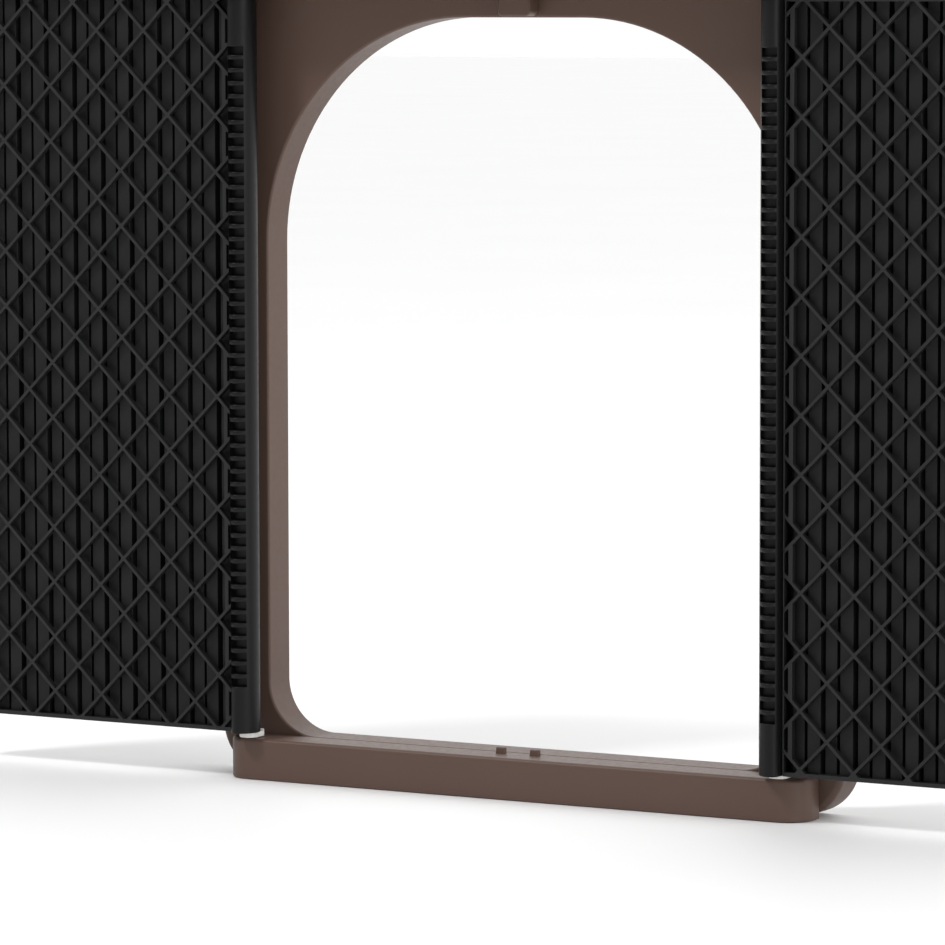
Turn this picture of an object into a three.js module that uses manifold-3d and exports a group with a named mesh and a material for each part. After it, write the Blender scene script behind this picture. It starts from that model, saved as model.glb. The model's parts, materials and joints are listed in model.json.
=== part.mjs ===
// Automatic coop door with two leaves that slide apart, built as an assembly of separate parts.
// Millimetres. +X is to the right, +Y goes from the front to the wall, +Z is up.
// Origin: middle of the bounding box at the height of the ground. Rest pose: both leaves fully open.
import * as THREE from 'three';
import { mergeGeometries, mergeVertices } from 'three/addons/utils/BufferGeometryUtils.js';
import Module from 'manifold-3d';

const wasm = await Module();
wasm.setup();

// ---------------------------------------------------------------------------------------------
// Driving dimensions. Depths are measured from the front of the lattice (Y = 0) until the end,
// where the whole assembly is moved to its bounding box's middle.
const GAP = 0.3;
const WALL = 2.5;

const FRAME = { halfWidth: 155, height: 452, front: 20.5, back: 38.2, footRadius: 23, topRadius: 12 };
const OPENING = { halfWidth: 129.5, sill: 18.4, top: 339.8, topRadius: 100, sillRadius: 24 };
const POCKET = { front: 24.5, wall: 3, rib: 2, pitch: 46, boss: 5.5 };
const SCREW = {
  seat: 35.7, head: 3.5, headDepth: 2.2, shank: 1.5, recess: 4, hole: 1.9, pad: 6, padFront: 31.5,
  pilot: 1.8, sillLength: 26, coverLength: 22,
};
const TRAY = { floor: 353, inside: 355.5, back: FRAME.back - WALL, top: FRAME.height - WALL };
const COVER = { front: -12, bottom: 353, lipBack: -0.5, boreFront: 10, bossBack: 19.5, bossRadius: 4 };
const RAIL = { halfWidth: 143.7, front: 3, height: OPENING.sill, radius: 12 };
const LUG = { inner: 6.3, outer: 10.6, front: 14.4, back: 17.4, height: 2.7 };
const BACKSTOP = { halfWidth: 8, bottom: 340.4, top: 352.5, front: 12.4 };

// The leaf moulding as the left leaf uses it. The right leaf is turned half round about turnZ.
const LEAF = { outer: 283.5, bottom: 21.4, top: 349.7, turnZ: 185.05 };
const RIGHT_LEAF = { bottom: 2 * LEAF.turnZ - LEAF.top, top: 2 * LEAF.turnZ - LEAF.bottom };
const LATTICE = {
  inner: 135.8, strip: 0.7, half: 12.5, column: 144, firstRow: 346.4, rib: 1.4, rim: 1.8,
  innerRim: [138.4, 140.4], depth: 3, least: 6,
};
const WALL_LAP = 0.4;
const SKIN = {
  slats: [{ first: 138.85, width: 5.5, front: 4.35 }, { first: 146.1, width: 6.1, front: 3.3 }],
  pitch: 15.1, grooveFloor: 8.6, back: 10.4, sheet: 1.5, wall: 1.8, wallFront: 3.4,
};
const EDGE = { radius: 8.2, axisX: 133, axisDepth: 2.2, cornerRadius: 3.95, meetDegrees: 20 };
EDGE.meet = THREE.MathUtils.degToRad(EDGE.meetDegrees);
EDGE.cornerX = EDGE.axisX - (EDGE.radius - EDGE.cornerRadius) * Math.sin(EDGE.meet);
EDGE.cornerDepth = EDGE.axisDepth - (EDGE.radius - EDGE.cornerRadius) * Math.cos(EDGE.meet);
const SHOE = { inner: 127, outer: 136, front: 2, back: 12, step: 10.7, height: 22, round: 4 };

const RACK = { module: 1.5, front: 5, back: 12, length: 152, deep: 8.6 };
const PINION = { teeth: 20, z: 383, front: 5.5, back: 11.8, bore: 3.3 };
PINION.radius = RACK.module * PINION.teeth / 2;
const TOOTH = { addendum: 1.3, dedendum: 1.8, share: 0.42, slope: Math.tan(THREE.MathUtils.degToRad(20)) };
const TRAVEL = 124.2;
const OVERRUN = 8;
const HANGER = {
  inner: 127, outer: 140, front: 1.5, back: 4.5,
  footOuter: 281, footFront: 0.8, footBack: 10.2, footThick: 2.4,
};
HANGER.middle = (HANGER.inner + HANGER.outer) / 2;
const GUIDE = {
  halfWidth: 139, lower: 362, upper: 404, tongueFront: 9.4, baseFront: 16.5, baseBack: 18,
  tongueHalf: 1.1, baseHalf: 4.5, grooveHalf: 1.5,
};
const PLATE = { halfWidth: 140, front: 18.3, back: 20.3, bottom: 356.2, top: 411, postX: 120, postRadius: 4 };
const GEARBOX = { left: -16, right: 30, front: 13, back: 35.2, halfHeight: 16, boreDepth: 14.5 };
const MOTOR = { radius: 11.9, y: 23.6, left: 30.4, right: 62, capRight: 66, bladeOffset: 4 };
const SWITCH = { left: 142.2, right: 148, front: 5.2, back: 11.4, half: 6 };
const PLUNGER = { left: 141, front: 7.5, back: 9, half: 1 };

const PANEL_Z = 428;
const BUTTON = { xs: [10, 28, 46], radius: 4.7, hole: 5, flange: 6.2, front: -13.5, back: -7.2, travel: 1 };
const DISPLAY = { x: -40, width: 48, height: 17, moduleHalf: [22, 8], moduleFront: -9.2 };
const SENSOR_X = -100;
const STATUS_X = -78;
const BOARD = { left: -110, right: 58, bottom: 414, top: 441, front: -4, back: -2.4 };
const BATTERY = { left: 69, right: 134, front: -6, back: 31, bottom: 412.5, top: 446, wall: 1.5 };
const CELL = {
  left: 77.6, radius: 7.1, length: 49, tip: 50.5, tipRadius: 2.7, ys: [3.5, 19.5], zs: [421.7, 436.8],
};
const CONTACT = { half: 0.4, front: -3, back: 27.5, bottom: 415, top: 443.4, inset: 0.7, bump: 2.4 };
const CONTACT_REACH = { spring: 5.8, button: -1.2 };
const FLAP = {
  left: 72, right: 132, bottom: 413.6, top: 446.5, front: -14.6, back: -12.4, hingeZ: 411.2, knuckle: 2.2,
  barrel: [82, 122], neck: [84, 120], lugs: [[77, 81.6], [122.4, 127]], bore: 1.3, pin: [77.5, 126.5],
  grip: [95, 109],
};
const INLET = { y: 29, z: 425, body: 5.2, flange: 7, bore: 3.2 };
const COVER_SCREWS = [[-145.5, 380], [145.5, 380], [-145.5, 440], [145.5, 440]];
const SILL_SCREW_XS = [-92, 92];
const WALL_HOLES = [[-142.3, 60], [142.3, 60], [-142.3, 250], [142.3, 250]];
const ROUND_STEPS = 12;
const FINE_STEPS = 16;
const SCREW_STEPS = 8;

// ---------------------------------------------------------------------------------------------
// Finishes.
function finish(color, roughness, metalness = 0) {
  return new THREE.MeshStandardMaterial({ color, roughness, metalness });
}

const BROWN_PLASTIC = finish(0x5c4b43, 0.5);
const BLACK_PLASTIC = finish(0x1c1c1d, 0.55);
const WHITE_NYLON = finish(0xe9e8e4, 0.45);
const ACETAL = finish(0xd8d6cc, 0.4);
const STEEL = finish(0xa8aaad, 0.35, 1);
const BRASS = finish(0xb59a5a, 0.35, 1);
const RUBBER = finish(0x171717, 0.85);
const BOARD_GREEN = finish(0x1f5a35, 0.6);
const DARK_LENS = finish(0x0a0f14, 0.1);
const GREY_PLASTIC = finish(0x8b8f92, 0.5);
const CELL_WRAP = finish(0x2b4f7d, 0.4);

// ---------------------------------------------------------------------------------------------
// Solids from three.js geometry, and the boolean cuts and joins between them.
function toSolid(geometry) {
  const bare = geometry.clone();
  bare.deleteAttribute('normal');
  bare.deleteAttribute('uv');
  const merged = mergeVertices(bare, 1e-4);
  const vertProperties = new Float32Array(merged.attributes.position.array);
  const triVerts = new Uint32Array(merged.index.array);
  return new wasm.Manifold(new wasm.Mesh({ numProp: 3, vertProperties, triVerts }));
}

function toGeometry(solid) {
  const mesh = solid.getMesh();
  const geometry = new THREE.BufferGeometry();
  geometry.setAttribute('position', new THREE.BufferAttribute(mesh.vertProperties, 3));
  geometry.setIndex(new THREE.BufferAttribute(mesh.triVerts, 1));
  geometry.computeVertexNormals();
  return geometry;
}

function join(...geometries) {
  return toGeometry(geometries.map(toSolid).reduce((whole, next) => whole.add(next)));
}

function cut(geometry, ...tools) {
  return toGeometry(tools.map(toSolid).reduce((rest, tool) => rest.subtract(tool), toSolid(geometry)));
}

// An outline in X and Z, extruded from depth y0 to y1.
function extrudeY(shape, y0, y1, curveSegments = 6) {
  const geometry = new THREE.ExtrudeGeometry(shape, { depth: y1 - y0, bevelEnabled: false, curveSegments });
  return geometry.rotateX(Math.PI / 2).translate(0, y1, 0);
}

// An outline in Y and Z, extruded from x0 to x1.
function extrudeX(shape, x0, x1, curveSegments = 6) {
  const geometry = new THREE.ExtrudeGeometry(shape, { depth: x1 - x0, bevelEnabled: false, curveSegments });
  const turn = new THREE.Matrix4().makeBasis(
    new THREE.Vector3(0, 1, 0), new THREE.Vector3(0, 0, 1), new THREE.Vector3(1, 0, 0));
  return geometry.applyMatrix4(turn).translate(x0, 0, 0);
}

// An outline in X and Y, extruded from height z0 to z1.
function extrudeZ(shape, z0, z1, curveSegments = 6) {
  const geometry = new THREE.ExtrudeGeometry(shape, { depth: z1 - z0, bevelEnabled: false, curveSegments });
  return geometry.translate(0, 0, z0);
}

function box(x0, x1, y0, y1, z0, z1) {
  const geometry = new THREE.BoxGeometry(x1 - x0, y1 - y0, z1 - z0);
  return geometry.translate((x0 + x1) / 2, (y0 + y1) / 2, (z0 + z1) / 2);
}

function rodY(radius, y0, y1, x = 0, z = 0, steps = ROUND_STEPS) {
  return new THREE.CylinderGeometry(radius, radius, y1 - y0, steps).translate(x, (y0 + y1) / 2, z);
}

function rodX(radius, x0, x1, y = 0, z = 0, steps = ROUND_STEPS) {
  const geometry = new THREE.CylinderGeometry(radius, radius, x1 - x0, steps).rotateZ(Math.PI / 2);
  return geometry.translate((x0 + x1) / 2, y, z);
}

// A rectangle whose lower and upper corners have their own radii.
function roundedRect(x0, x1, z0, z1, lower, upper) {
  const shape = new THREE.Shape();
  shape.moveTo(x0 + lower, z0);
  shape.lineTo(x1 - lower, z0);
  shape.absarc(x1 - lower, z0 + lower, lower, -Math.PI / 2, 0);
  shape.lineTo(x1, z1 - upper);
  shape.absarc(x1 - upper, z1 - upper, upper, 0, Math.PI / 2);
  shape.lineTo(x0 + upper, z1);
  shape.absarc(x0 + upper, z1 - upper, upper, Math.PI / 2, Math.PI);
  shape.lineTo(x0, z0 + lower);
  shape.absarc(x0 + lower, z0 + lower, lower, Math.PI, Math.PI * 1.5);
  return shape;
}

function polygon(points) {
  return new THREE.Shape(points.map(([x, y]) => new THREE.Vector2(x, y)));
}

function part(name, geometry, material) {
  const mesh = new THREE.Mesh(geometry, material);
  mesh.name = name;
  return mesh;
}

// ---------------------------------------------------------------------------------------------
// Frame: the moulding that is screwed to the wall. Below it is a ribbed surround of the opening,
// above it is the tray that holds the drive.
function archOutline(outset) {
  const { halfWidth, sill, top, topRadius, sillRadius } = OPENING;
  const reach = halfWidth + outset;
  return roundedRect(-reach, reach, sill - outset, top + outset, sillRadius + outset, topRadius + outset);
}

// The hollows in the back of the surround, with ribs and screw bosses left standing.
function rearPockets() {
  const { wall, rib, pitch, boss, front } = POCKET;
  const side = FRAME.halfWidth - wall;
  const outside = roundedRect(-side, side, wall, TRAY.floor - wall, FRAME.footRadius - wall, 1);
  let pockets = toSolid(extrudeY(outside, front, FRAME.back + 1, 4));
  pockets = pockets.subtract(toSolid(extrudeY(archOutline(wall), front - 1, FRAME.back + 2, 6)));
  for (let z = pitch; z < TRAY.floor - wall; z += pitch) {
    pockets = pockets.subtract(toSolid(box(-side, side, front - 1, FRAME.back + 2, z, z + rib)));
  }
  for (let x = -3 * pitch; x <= 3 * pitch; x += pitch) {
    if (Math.abs(x) < OPENING.halfWidth) {
      const upright = box(x - rib / 2, x + rib / 2, front - 1, FRAME.back + 2, 0, TRAY.floor);
      pockets = pockets.subtract(toSolid(upright));
    }
  }
  const bosses = [...WALL_HOLES, ...SILL_SCREW_XS.map((x) => [x, OPENING.sill / 2])];
  for (const [x, z] of bosses) {
    pockets = pockets.subtract(toSolid(rodY(boss, front - 1, FRAME.back + 2, x, z, SCREW_STEPS)));
  }
  return pockets;
}

function frameBody() {
  const { halfWidth, height, front, back, footRadius, topRadius } = FRAME;
  const outline = roundedRect(-halfWidth, halfWidth, 0, height, footRadius, topRadius);
  outline.holes.push(archOutline(0));
  let body = toSolid(extrudeY(outline, front, back, ROUND_STEPS)).subtract(rearPockets());
  const inside = halfWidth - WALL;
  const cavity = roundedRect(-inside, inside, TRAY.inside, TRAY.top, 1, topRadius - WALL);
  body = body.subtract(toSolid(extrudeY(cavity, front - 1, TRAY.back)));
  for (const x of [-PLATE.postX, PLATE.postX]) {
    for (const z of [GUIDE.lower, GUIDE.upper]) {
      body = body.add(toSolid(rodY(PLATE.postRadius, PLATE.back + GAP, TRAY.back + 1, x, z, SCREW_STEPS)));
    }
  }
  for (const [x, z] of WALL_HOLES) {
    body = body.subtract(toSolid(rodY(2.5, front - 1, back + 1, x, z, SCREW_STEPS)));
  }
  for (const [x, z] of COVER_SCREWS) {
    body = body.add(toSolid(rodY(SCREW.pad, SCREW.padFront, TRAY.back + 1, x, z)));
  }
  const rearScrews = [...COVER_SCREWS, ...SILL_SCREW_XS.map((x) => [x, OPENING.sill / 2])];
  for (const [x, z] of rearScrews) {
    body = body.subtract(toSolid(rodY(SCREW.hole, front - 1, back + 1, x, z)));
    body = body.subtract(toSolid(rodY(SCREW.recess, SCREW.seat - GAP, back + 1, x, z)));
  }
  body = body.subtract(toSolid(rodX(INLET.body + GAP, inside - 1, halfWidth + 1, INLET.y, INLET.z)));
  return toGeometry(body);
}

// Sill rail: the deeper foot in front of the frame, with the two lugs that back up the closed leaves.
function sillRail() {
  const { halfWidth, front, height, radius } = RAIL;
  const back = FRAME.front - GAP;
  const plan = new THREE.Shape();
  plan.moveTo(-halfWidth + radius, front);
  plan.lineTo(halfWidth - radius, front);
  plan.absarc(halfWidth - radius, front + radius, radius, -Math.PI / 2, 0);
  plan.lineTo(halfWidth, back);
  plan.lineTo(-halfWidth, back);
  plan.lineTo(-halfWidth, front + radius);
  plan.absarc(-halfWidth + radius, front + radius, radius, Math.PI, Math.PI * 1.5);
  const side = polygon([
    [LUG.front, height - 1], [LUG.back, height - 1], [LUG.back, height + LUG.height],
    [LUG.front + 1, height + LUG.height],
  ]);
  const whole = join(
    extrudeZ(plan, 0, height, 8),
    extrudeX(side, -LUG.outer, -LUG.inner),
    extrudeX(side, LUG.inner, LUG.outer));
  const pilots = SILL_SCREW_XS.map((x) => rodY(SCREW.pilot, 7, FRAME.front + 1, x, height / 2, SCREW_STEPS));
  return cut(whole, ...pilots);
}

// The block above the arch that stops the closed leaves being pushed in.
function topBackstop() {
  const { halfWidth, bottom, top, front } = BACKSTOP;
  return extrudeY(roundedRect(-halfWidth, halfWidth, bottom, top, 2.5, 0.5), front, FRAME.front - GAP, 3);
}

// ---------------------------------------------------------------------------------------------
// Housing cover: a shell with no back and an open slot below, where the hangers come out.
function housingCover() {
  const { front, bottom, lipBack, boreFront, bossBack, bossRadius } = COVER;
  const side = FRAME.halfWidth;
  const round = FRAME.topRadius;
  const outside = roundedRect(-side, side, bottom, FRAME.height, 2, round);
  const inside = roundedRect(-side + WALL, side - WALL, bottom + WALL, TRAY.top, 1, round - WALL);
  const back = FRAME.front - GAP;
  let shell = toSolid(extrudeY(outside, front, back, 5));
  shell = shell.subtract(toSolid(extrudeY(inside, front + WALL, back + 1, 3)));
  const slot = box(-side + WALL, side - WALL, lipBack, back + 1, bottom - 1, bottom + WALL + 1);
  shell = shell.subtract(toSolid(slot));
  for (const [x, z] of COVER_SCREWS) {
    shell = shell.add(toSolid(rodY(bossRadius, front + 1, bossBack, x, z, SCREW_STEPS)));
    shell = shell.subtract(toSolid(rodY(SCREW.pilot, boreFront, bossBack + 1, x, z, SCREW_STEPS)));
  }
  const through = [front - 1, front + WALL + 1];
  for (const x of BUTTON.xs) {
    shell = shell.subtract(toSolid(rodY(BUTTON.hole, ...through, x, PANEL_Z, FINE_STEPS)));
  }
  shell = shell.subtract(toSolid(rodY(4.3, ...through, SENSOR_X, PANEL_Z)));
  shell = shell.subtract(toSolid(rodY(2.3, ...through, STATUS_X, PANEL_Z, 12)));
  const halfWindow = DISPLAY.width / 2 + GAP;
  const window = roundedRect(
    DISPLAY.x - halfWindow, DISPLAY.x + halfWindow,
    PANEL_Z - DISPLAY.height / 2 - GAP, PANEL_Z + DISPLAY.height / 2 + GAP, 2, 2);
  shell = shell.subtract(toSolid(extrudeY(window, ...through, 3)));
  const hatch = box(FLAP.left + 2, FLAP.right - 2, ...through, FLAP.bottom + 2, FLAP.top - 2);
  shell = shell.subtract(toSolid(hatch));
  for (const [x0, x1] of FLAP.lugs) {
    shell = shell.add(toSolid(rodX(FLAP.knuckle, x0, x1, FLAP.front, FLAP.hingeZ, 12)));
    const root = [FLAP.hingeZ - FLAP.knuckle * 0.9, FLAP.hingeZ + FLAP.knuckle * 0.9];
    shell = shell.add(toSolid(box(x0, x1, FLAP.front, front + 1, ...root)));
    shell = shell.subtract(toSolid(rodX(FLAP.bore, x0 - 1, x1 + 1, FLAP.front, FLAP.hingeZ, 12)));
  }
  return toGeometry(shell);
}

// The sealing strip that closes the joint between the cover and the frame's tray.
function coverGasket() {
  const outer = FRAME.halfWidth - WALL - GAP;
  const thick = 1.8;
  const outline = roundedRect(-outer, outer, 356, TRAY.top - GAP, 0.1, FRAME.topRadius - WALL);
  const inner = roundedRect(-outer + thick, outer - thick, 350, TRAY.top - GAP - thick, 0.1, 7.5);
  return cut(extrudeY(outline, 18.8, 21.8, 4), extrudeY(inner, 18, 23, 4));
}

// ---------------------------------------------------------------------------------------------
// Leaf parts, drawn for the left leaf. The right leaf is the same moulding turned half round.
function clipAtLine(points, inside, cross) {
  const kept = [];
  points.forEach((point, i) => {
    const next = points[(i + 1) % points.length];
    if (inside(point)) kept.push(point);
    if (inside(point) !== inside(next)) kept.push(cross(point, next));
  });
  return kept;
}

function clipToRect(points, x0, x1, z0, z1) {
  const at = (axis, value) => (p, q) => {
    const share = (value - p[axis]) / (q[axis] - p[axis]);
    return [p[0] + share * (q[0] - p[0]), p[1] + share * (q[1] - p[1])];
  };
  let left = clipAtLine(points, (p) => p[0] > x0, at(0, x0));
  left = clipAtLine(left, (p) => p[0] < x1, at(0, x1));
  left = clipAtLine(left, (p) => p[1] > z0, at(1, z0));
  return clipAtLine(left, (p) => p[1] < z1, at(1, z1));
}

// A flat grille of diamonds inside a thin rim. The first column of diamonds is cut short by an inner rim,
// with a narrow gap left open between that rim and the strip beside the closing edge.
function leafLattice() {
  const { inner, strip, half, column, firstRow, rib, rim, innerRim, depth, least } = LATTICE;
  const reach = half - rib * Math.SQRT1_2;
  const open = [inner + strip, LEAF.outer - rim];
  const splitByRim = [[open[0], innerRim[0]], [innerRim[1], open[1]]];
  const columns = Math.ceil((LEAF.outer - column) / half) + 1;
  const rows = Math.ceil((LEAF.top - LEAF.bottom) / half) + 1;
  const windows = [];
  for (let k = -1; k <= columns; k += 1) {
    for (let m = -1; m <= rows; m += 1) {
      if ((k + m) % 2 === 0) continue;
      const x = column + half * k;
      const z = firstRow - half * m;
      const diamond = [[x - reach, z], [x, z - reach], [x + reach, z], [x, z + reach]];
      for (const [near, far] of k === 0 ? splitByRim : [open]) {
        const clipped = clipToRect(diamond, near, far, LEAF.bottom + rim, LEAF.top - rim);
        if (clipped.length < 3) continue;
        const window = polygon(clipped.map(([across, up]) => [-across, up]));
        if (Math.abs(THREE.ShapeUtils.area(window.getPoints())) > least) {
          windows.push(extrudeY(window, -1, depth + 1));
        }
      }
    }
  }
  const sheet = box(-LEAF.outer, -inner, 0, depth, LEAF.bottom, LEAF.top);
  return cut(sheet, mergeGeometries(windows));
}

// The slatted sheet behind the lattice: upright slats, every other one set back, with narrow grooves
// between them and a closing wall at the top, bottom and outer edge.
function leafSkin() {
  const { slats, pitch, grooveFloor, back, sheet, wall, wallFront } = SKIN;
  const faces = [];
  const rears = [];
  for (let offset = 0; offset < LEAF.outer - slats[0].first; offset += pitch) {
    for (const { first, width, front } of slats) {
      const start = first + offset;
      const end = start + width;
      if (end > LEAF.outer - wall) continue;
      faces.push([start, grooveFloor], [start, front], [end, front], [end, grooveFloor]);
      rears.push([start + sheet, back], [start + sheet, front + sheet]);
      rears.push([end - sheet, front + sheet], [end - sheet, back]);
    }
  }
  const near = LATTICE.inner + WALL_LAP;
  const far = LEAF.outer - WALL_LAP;
  const outline = [
    [near, grooveFloor], ...faces, [far, grooveFloor], [far, back], ...rears.reverse(), [near, back],
  ];
  const sheetBody = extrudeZ(
    polygon(outline.map(([x, y]) => [-x, y])), LEAF.bottom + WALL_LAP, LEAF.top - WALL_LAP);
  const inside = { x: -LEAF.outer + wall, low: LEAF.bottom + wall, high: LEAF.top - wall };
  const walls = polygon([
    [-LATTICE.inner, LEAF.bottom], [-LATTICE.inner, inside.low], [inside.x, inside.low],
    [inside.x, inside.high], [-LATTICE.inner, inside.high], [-LATTICE.inner, LEAF.top],
    [-LEAF.outer, LEAF.top], [-LEAF.outer, LEAF.bottom],
  ]);
  return join(sheetBody, extrudeY(walls, wallFront, back + 0.1));
}

// The rounded closing edge: a wide nose towards the other leaf and a tighter corner towards the lattice.
function leafEdge() {
  const { radius, axisX, axisDepth, cornerRadius, cornerX, cornerDepth, meet } = EDGE;
  const plan = new THREE.Shape();
  const meetAngle = meet - Math.PI / 2;
  plan.moveTo(-cornerX - cornerRadius, axisDepth + radius);
  plan.lineTo(-axisX, axisDepth + radius);
  plan.absarc(-axisX, axisDepth, radius, Math.PI / 2, meetAngle, true);
  plan.absarc(-cornerX, cornerDepth, cornerRadius, meetAngle, -Math.PI, true);
  return extrudeZ(plan, LEAF.bottom, LEAF.top, ROUND_STEPS);
}

function leaf(side) {
  const group = new THREE.Group();
  group.add(
    part(`${side}_leaf_lattice`, leafLattice(), BLACK_PLASTIC),
    part(`${side}_leaf_skin`, leafSkin(), BLACK_PLASTIC),
    part(`${side}_leaf_closing_edge`, leafEdge(), BLACK_PLASTIC));
  if (side === 'right') {
    group.rotation.y = Math.PI;
    group.position.z = 2 * LEAF.turnZ;
  }
  return group;
}

// Glide shoe: runs along the sill rail under the closing edge, with a lip behind it.
function glideShoe(sign, leafBottom) {
  const { inner, outer, front, back, step, height, round } = SHOE;
  const [left, right] = [sign * inner, sign * outer].sort((a, b) => a - b);
  const block = extrudeZ(roundedRect(left, right, front, back, round, 1), RAIL.height + GAP, height, 4);
  return cut(block, box(left - 1, right + 1, front - 1, step, leafBottom - GAP, height + 1));
}

// ---------------------------------------------------------------------------------------------
// Drive: a rack for each leaf, below and above one pinion, so the leaves always move opposite ways.
function rackOutline(from, to) {
  const { addendum, dedendum, share, slope } = TOOTH;
  const pitch = Math.PI * RACK.module;
  const halfAtPitch = pitch * share / 2;
  const points = [[from, -RACK.deep - dedendum], [to, -RACK.deep - dedendum], [to, -dedendum]];
  const last = Math.floor((to - OVERRUN / 4) / pitch - 0.5);
  for (let tooth = last; (tooth + 0.5) * pitch > Math.max(from + pitch, -TRAVEL - OVERRUN); tooth -= 1) {
    const middle = (tooth + 0.5) * pitch;
    const root = halfAtPitch + dedendum * slope;
    const tip = halfAtPitch - addendum * slope;
    points.push([middle + root, -dedendum], [middle + tip, addendum]);
    points.push([middle - tip, addendum], [middle - root, -dedendum]);
  }
  points.push([from, -dedendum]);
  return polygon(points);
}

// The left leaf's rack has its teeth up. The right leaf's is the same bar turned half round.
function rackBar(grooveZ) {
  const bar = extrudeY(rackOutline(OVERRUN * 1.5 - RACK.length, OVERRUN * 1.5), RACK.front, RACK.back);
  const { tongueFront, grooveHalf } = GUIDE;
  const grooveFront = tongueFront - 0.4;
  const groove = box(
    -RACK.length, RACK.length, grooveFront, RACK.back + 1, grooveZ - grooveHalf, grooveZ + grooveHalf);
  const screwHole = rodY(1.5, RACK.front - 1, tongueFront - 1, -HANGER.middle, grooveZ);
  return cut(bar, groove, screwHole);
}

function pinionGear() {
  const { addendum, dedendum, share, slope } = TOOTH;
  const { teeth, radius } = PINION;
  const halfAngle = Math.PI * share / teeth;
  const outline = new THREE.Shape();
  const ring = [
    [radius - dedendum, halfAngle + dedendum * slope / radius],
    [radius, halfAngle],
    [radius + addendum, halfAngle - addendum * slope * 1.25 / radius],
  ];
  const corners = [];
  for (let tooth = 0; tooth < teeth; tooth += 1) {
    const centre = Math.PI / 2 + tooth * 2 * Math.PI / teeth;
    for (const [r, a] of ring) corners.push([r, centre - a]);
    for (const [r, a] of [...ring].reverse()) corners.push([r, centre + a]);
  }
  corners.forEach(([r, a], i) => {
    const step = [r * Math.cos(a), r * Math.sin(a)];
    if (i === 0) outline.moveTo(...step);
    else outline.lineTo(...step);
  });
  outline.holes.push(new THREE.Path().absarc(0, 0, PINION.bore, 0, 2 * Math.PI));
  return extrudeY(outline, PINION.front, PINION.back, 8);
}

// Hanger: a strip on top of the leaf with an upright that carries the rack.
function hanger(sign, leafTop, webTop, screwZ) {
  const { inner, outer, footOuter, footFront, footBack, footThick, front, back, middle } = HANGER;
  const span = (a, b) => [sign * a, sign * b].sort((p, q) => p - q);
  const footTop = leafTop + GAP + footThick;
  const foot = box(...span(inner, footOuter), footFront, footBack, leafTop + GAP, footTop);
  const web = box(...span(inner, outer), front, back, footTop - 1, webTop);
  return cut(join(foot, web), rodY(1.8, 0, back + 1, sign * middle, screwZ));
}

// A pan-head screw along Y, its head at the given depth and its shank running back from it.
function screw(headRadius, headDepth, shankRadius, shankLength) {
  return join(
    rodY(headRadius, -headDepth, 0.01, 0, 0, SCREW_STEPS),
    rodY(shankRadius, 0, shankLength, 0, 0, SCREW_STEPS));
}

function guideRail(z) {
  const { halfWidth, tongueFront, baseFront, baseBack, tongueHalf, baseHalf } = GUIDE;
  const base = box(-halfWidth, halfWidth, baseFront, baseBack, z - baseHalf, z + baseHalf);
  const tongue = box(-halfWidth, halfWidth, tongueFront, baseFront + 0.5, z - tongueHalf, z + tongueHalf);
  return join(base, tongue);
}

function mechanismPlate() {
  const { halfWidth, front, back, bottom, top } = PLATE;
  const sheet = box(-halfWidth, halfWidth, front, back, bottom, top);
  const halfWindow = GEARBOX.halfHeight + 1;
  const window = box(
    GEARBOX.left - 1, MOTOR.capRight + 1, front - 1, back + 1, PINION.z - halfWindow, PINION.z + halfWindow);
  return cut(sheet, window);
}

function gearboxCase() {
  const { left, right, front, back, halfHeight, boreDepth } = GEARBOX;
  const shape = roundedRect(left, right, PINION.z - halfHeight, PINION.z + halfHeight, 3, 3);
  return cut(extrudeY(shape, front, back, 3), rodY(PINION.bore, front - 1, front + boreDepth, 0, PINION.z));
}

function motorEndCap() {
  const { y, right, capRight, bladeOffset } = MOTOR;
  const cap = rodX(8, right + GAP, capRight - 1.5, y, PINION.z);
  const blades = [y - bladeOffset, y + bladeOffset].map((middle) => box(
    capRight - 2, capRight, middle - 1, middle + 1, PINION.z - 0.4, PINION.z + 0.4));
  return join(cap, ...blades);
}

function washer(inner, outer, y0, y1) {
  return cut(rodY(outer, y0, y1), rodY(inner, y0 - 1, y1 + 1));
}

function limitSwitch(z) {
  const { left, right, front, back, half } = SWITCH;
  const body = box(left, right, front, back, z - half, z + half);
  const tip = PLUNGER.half;
  const plunger = box(PLUNGER.left, left + 1, PLUNGER.front, PLUNGER.back, z - tip, z + tip);
  return join(body, plunger);
}

// ---------------------------------------------------------------------------------------------
// Controls and power.
function pushButton() {
  return join(
    rodY(BUTTON.radius, BUTTON.front, -9, 0, 0, FINE_STEPS),
    rodY(BUTTON.flange, COVER.front + WALL + GAP, -8, 0, 0, FINE_STEPS),
    rodY(2, -8.5, BUTTON.back, 0, 0, 12));
}

function buttonSwitch() {
  const bodyFront = -5.9;
  const body = box(-3, 3, bodyFront, BOARD.front - GAP, -3, 3);
  return join(body, rodY(1.2, BUTTON.back + BUTTON.travel + 0.1, bodyFront + 0.4));
}

function displayModule() {
  const { x, moduleHalf: [halfWidth, halfHeight], moduleFront } = DISPLAY;
  return box(
    x - halfWidth, x + halfWidth, moduleFront, BOARD.front - GAP, PANEL_Z - halfHeight, PANEL_Z + halfHeight);
}

function displayWindow() {
  const shape = roundedRect(
    DISPLAY.x - DISPLAY.width / 2, DISPLAY.x + DISPLAY.width / 2,
    PANEL_Z - DISPLAY.height / 2, PANEL_Z + DISPLAY.height / 2, 1.7, 1.7);
  return extrudeY(shape, COVER.front + 0.4, COVER.front + WALL, 3);
}

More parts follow.
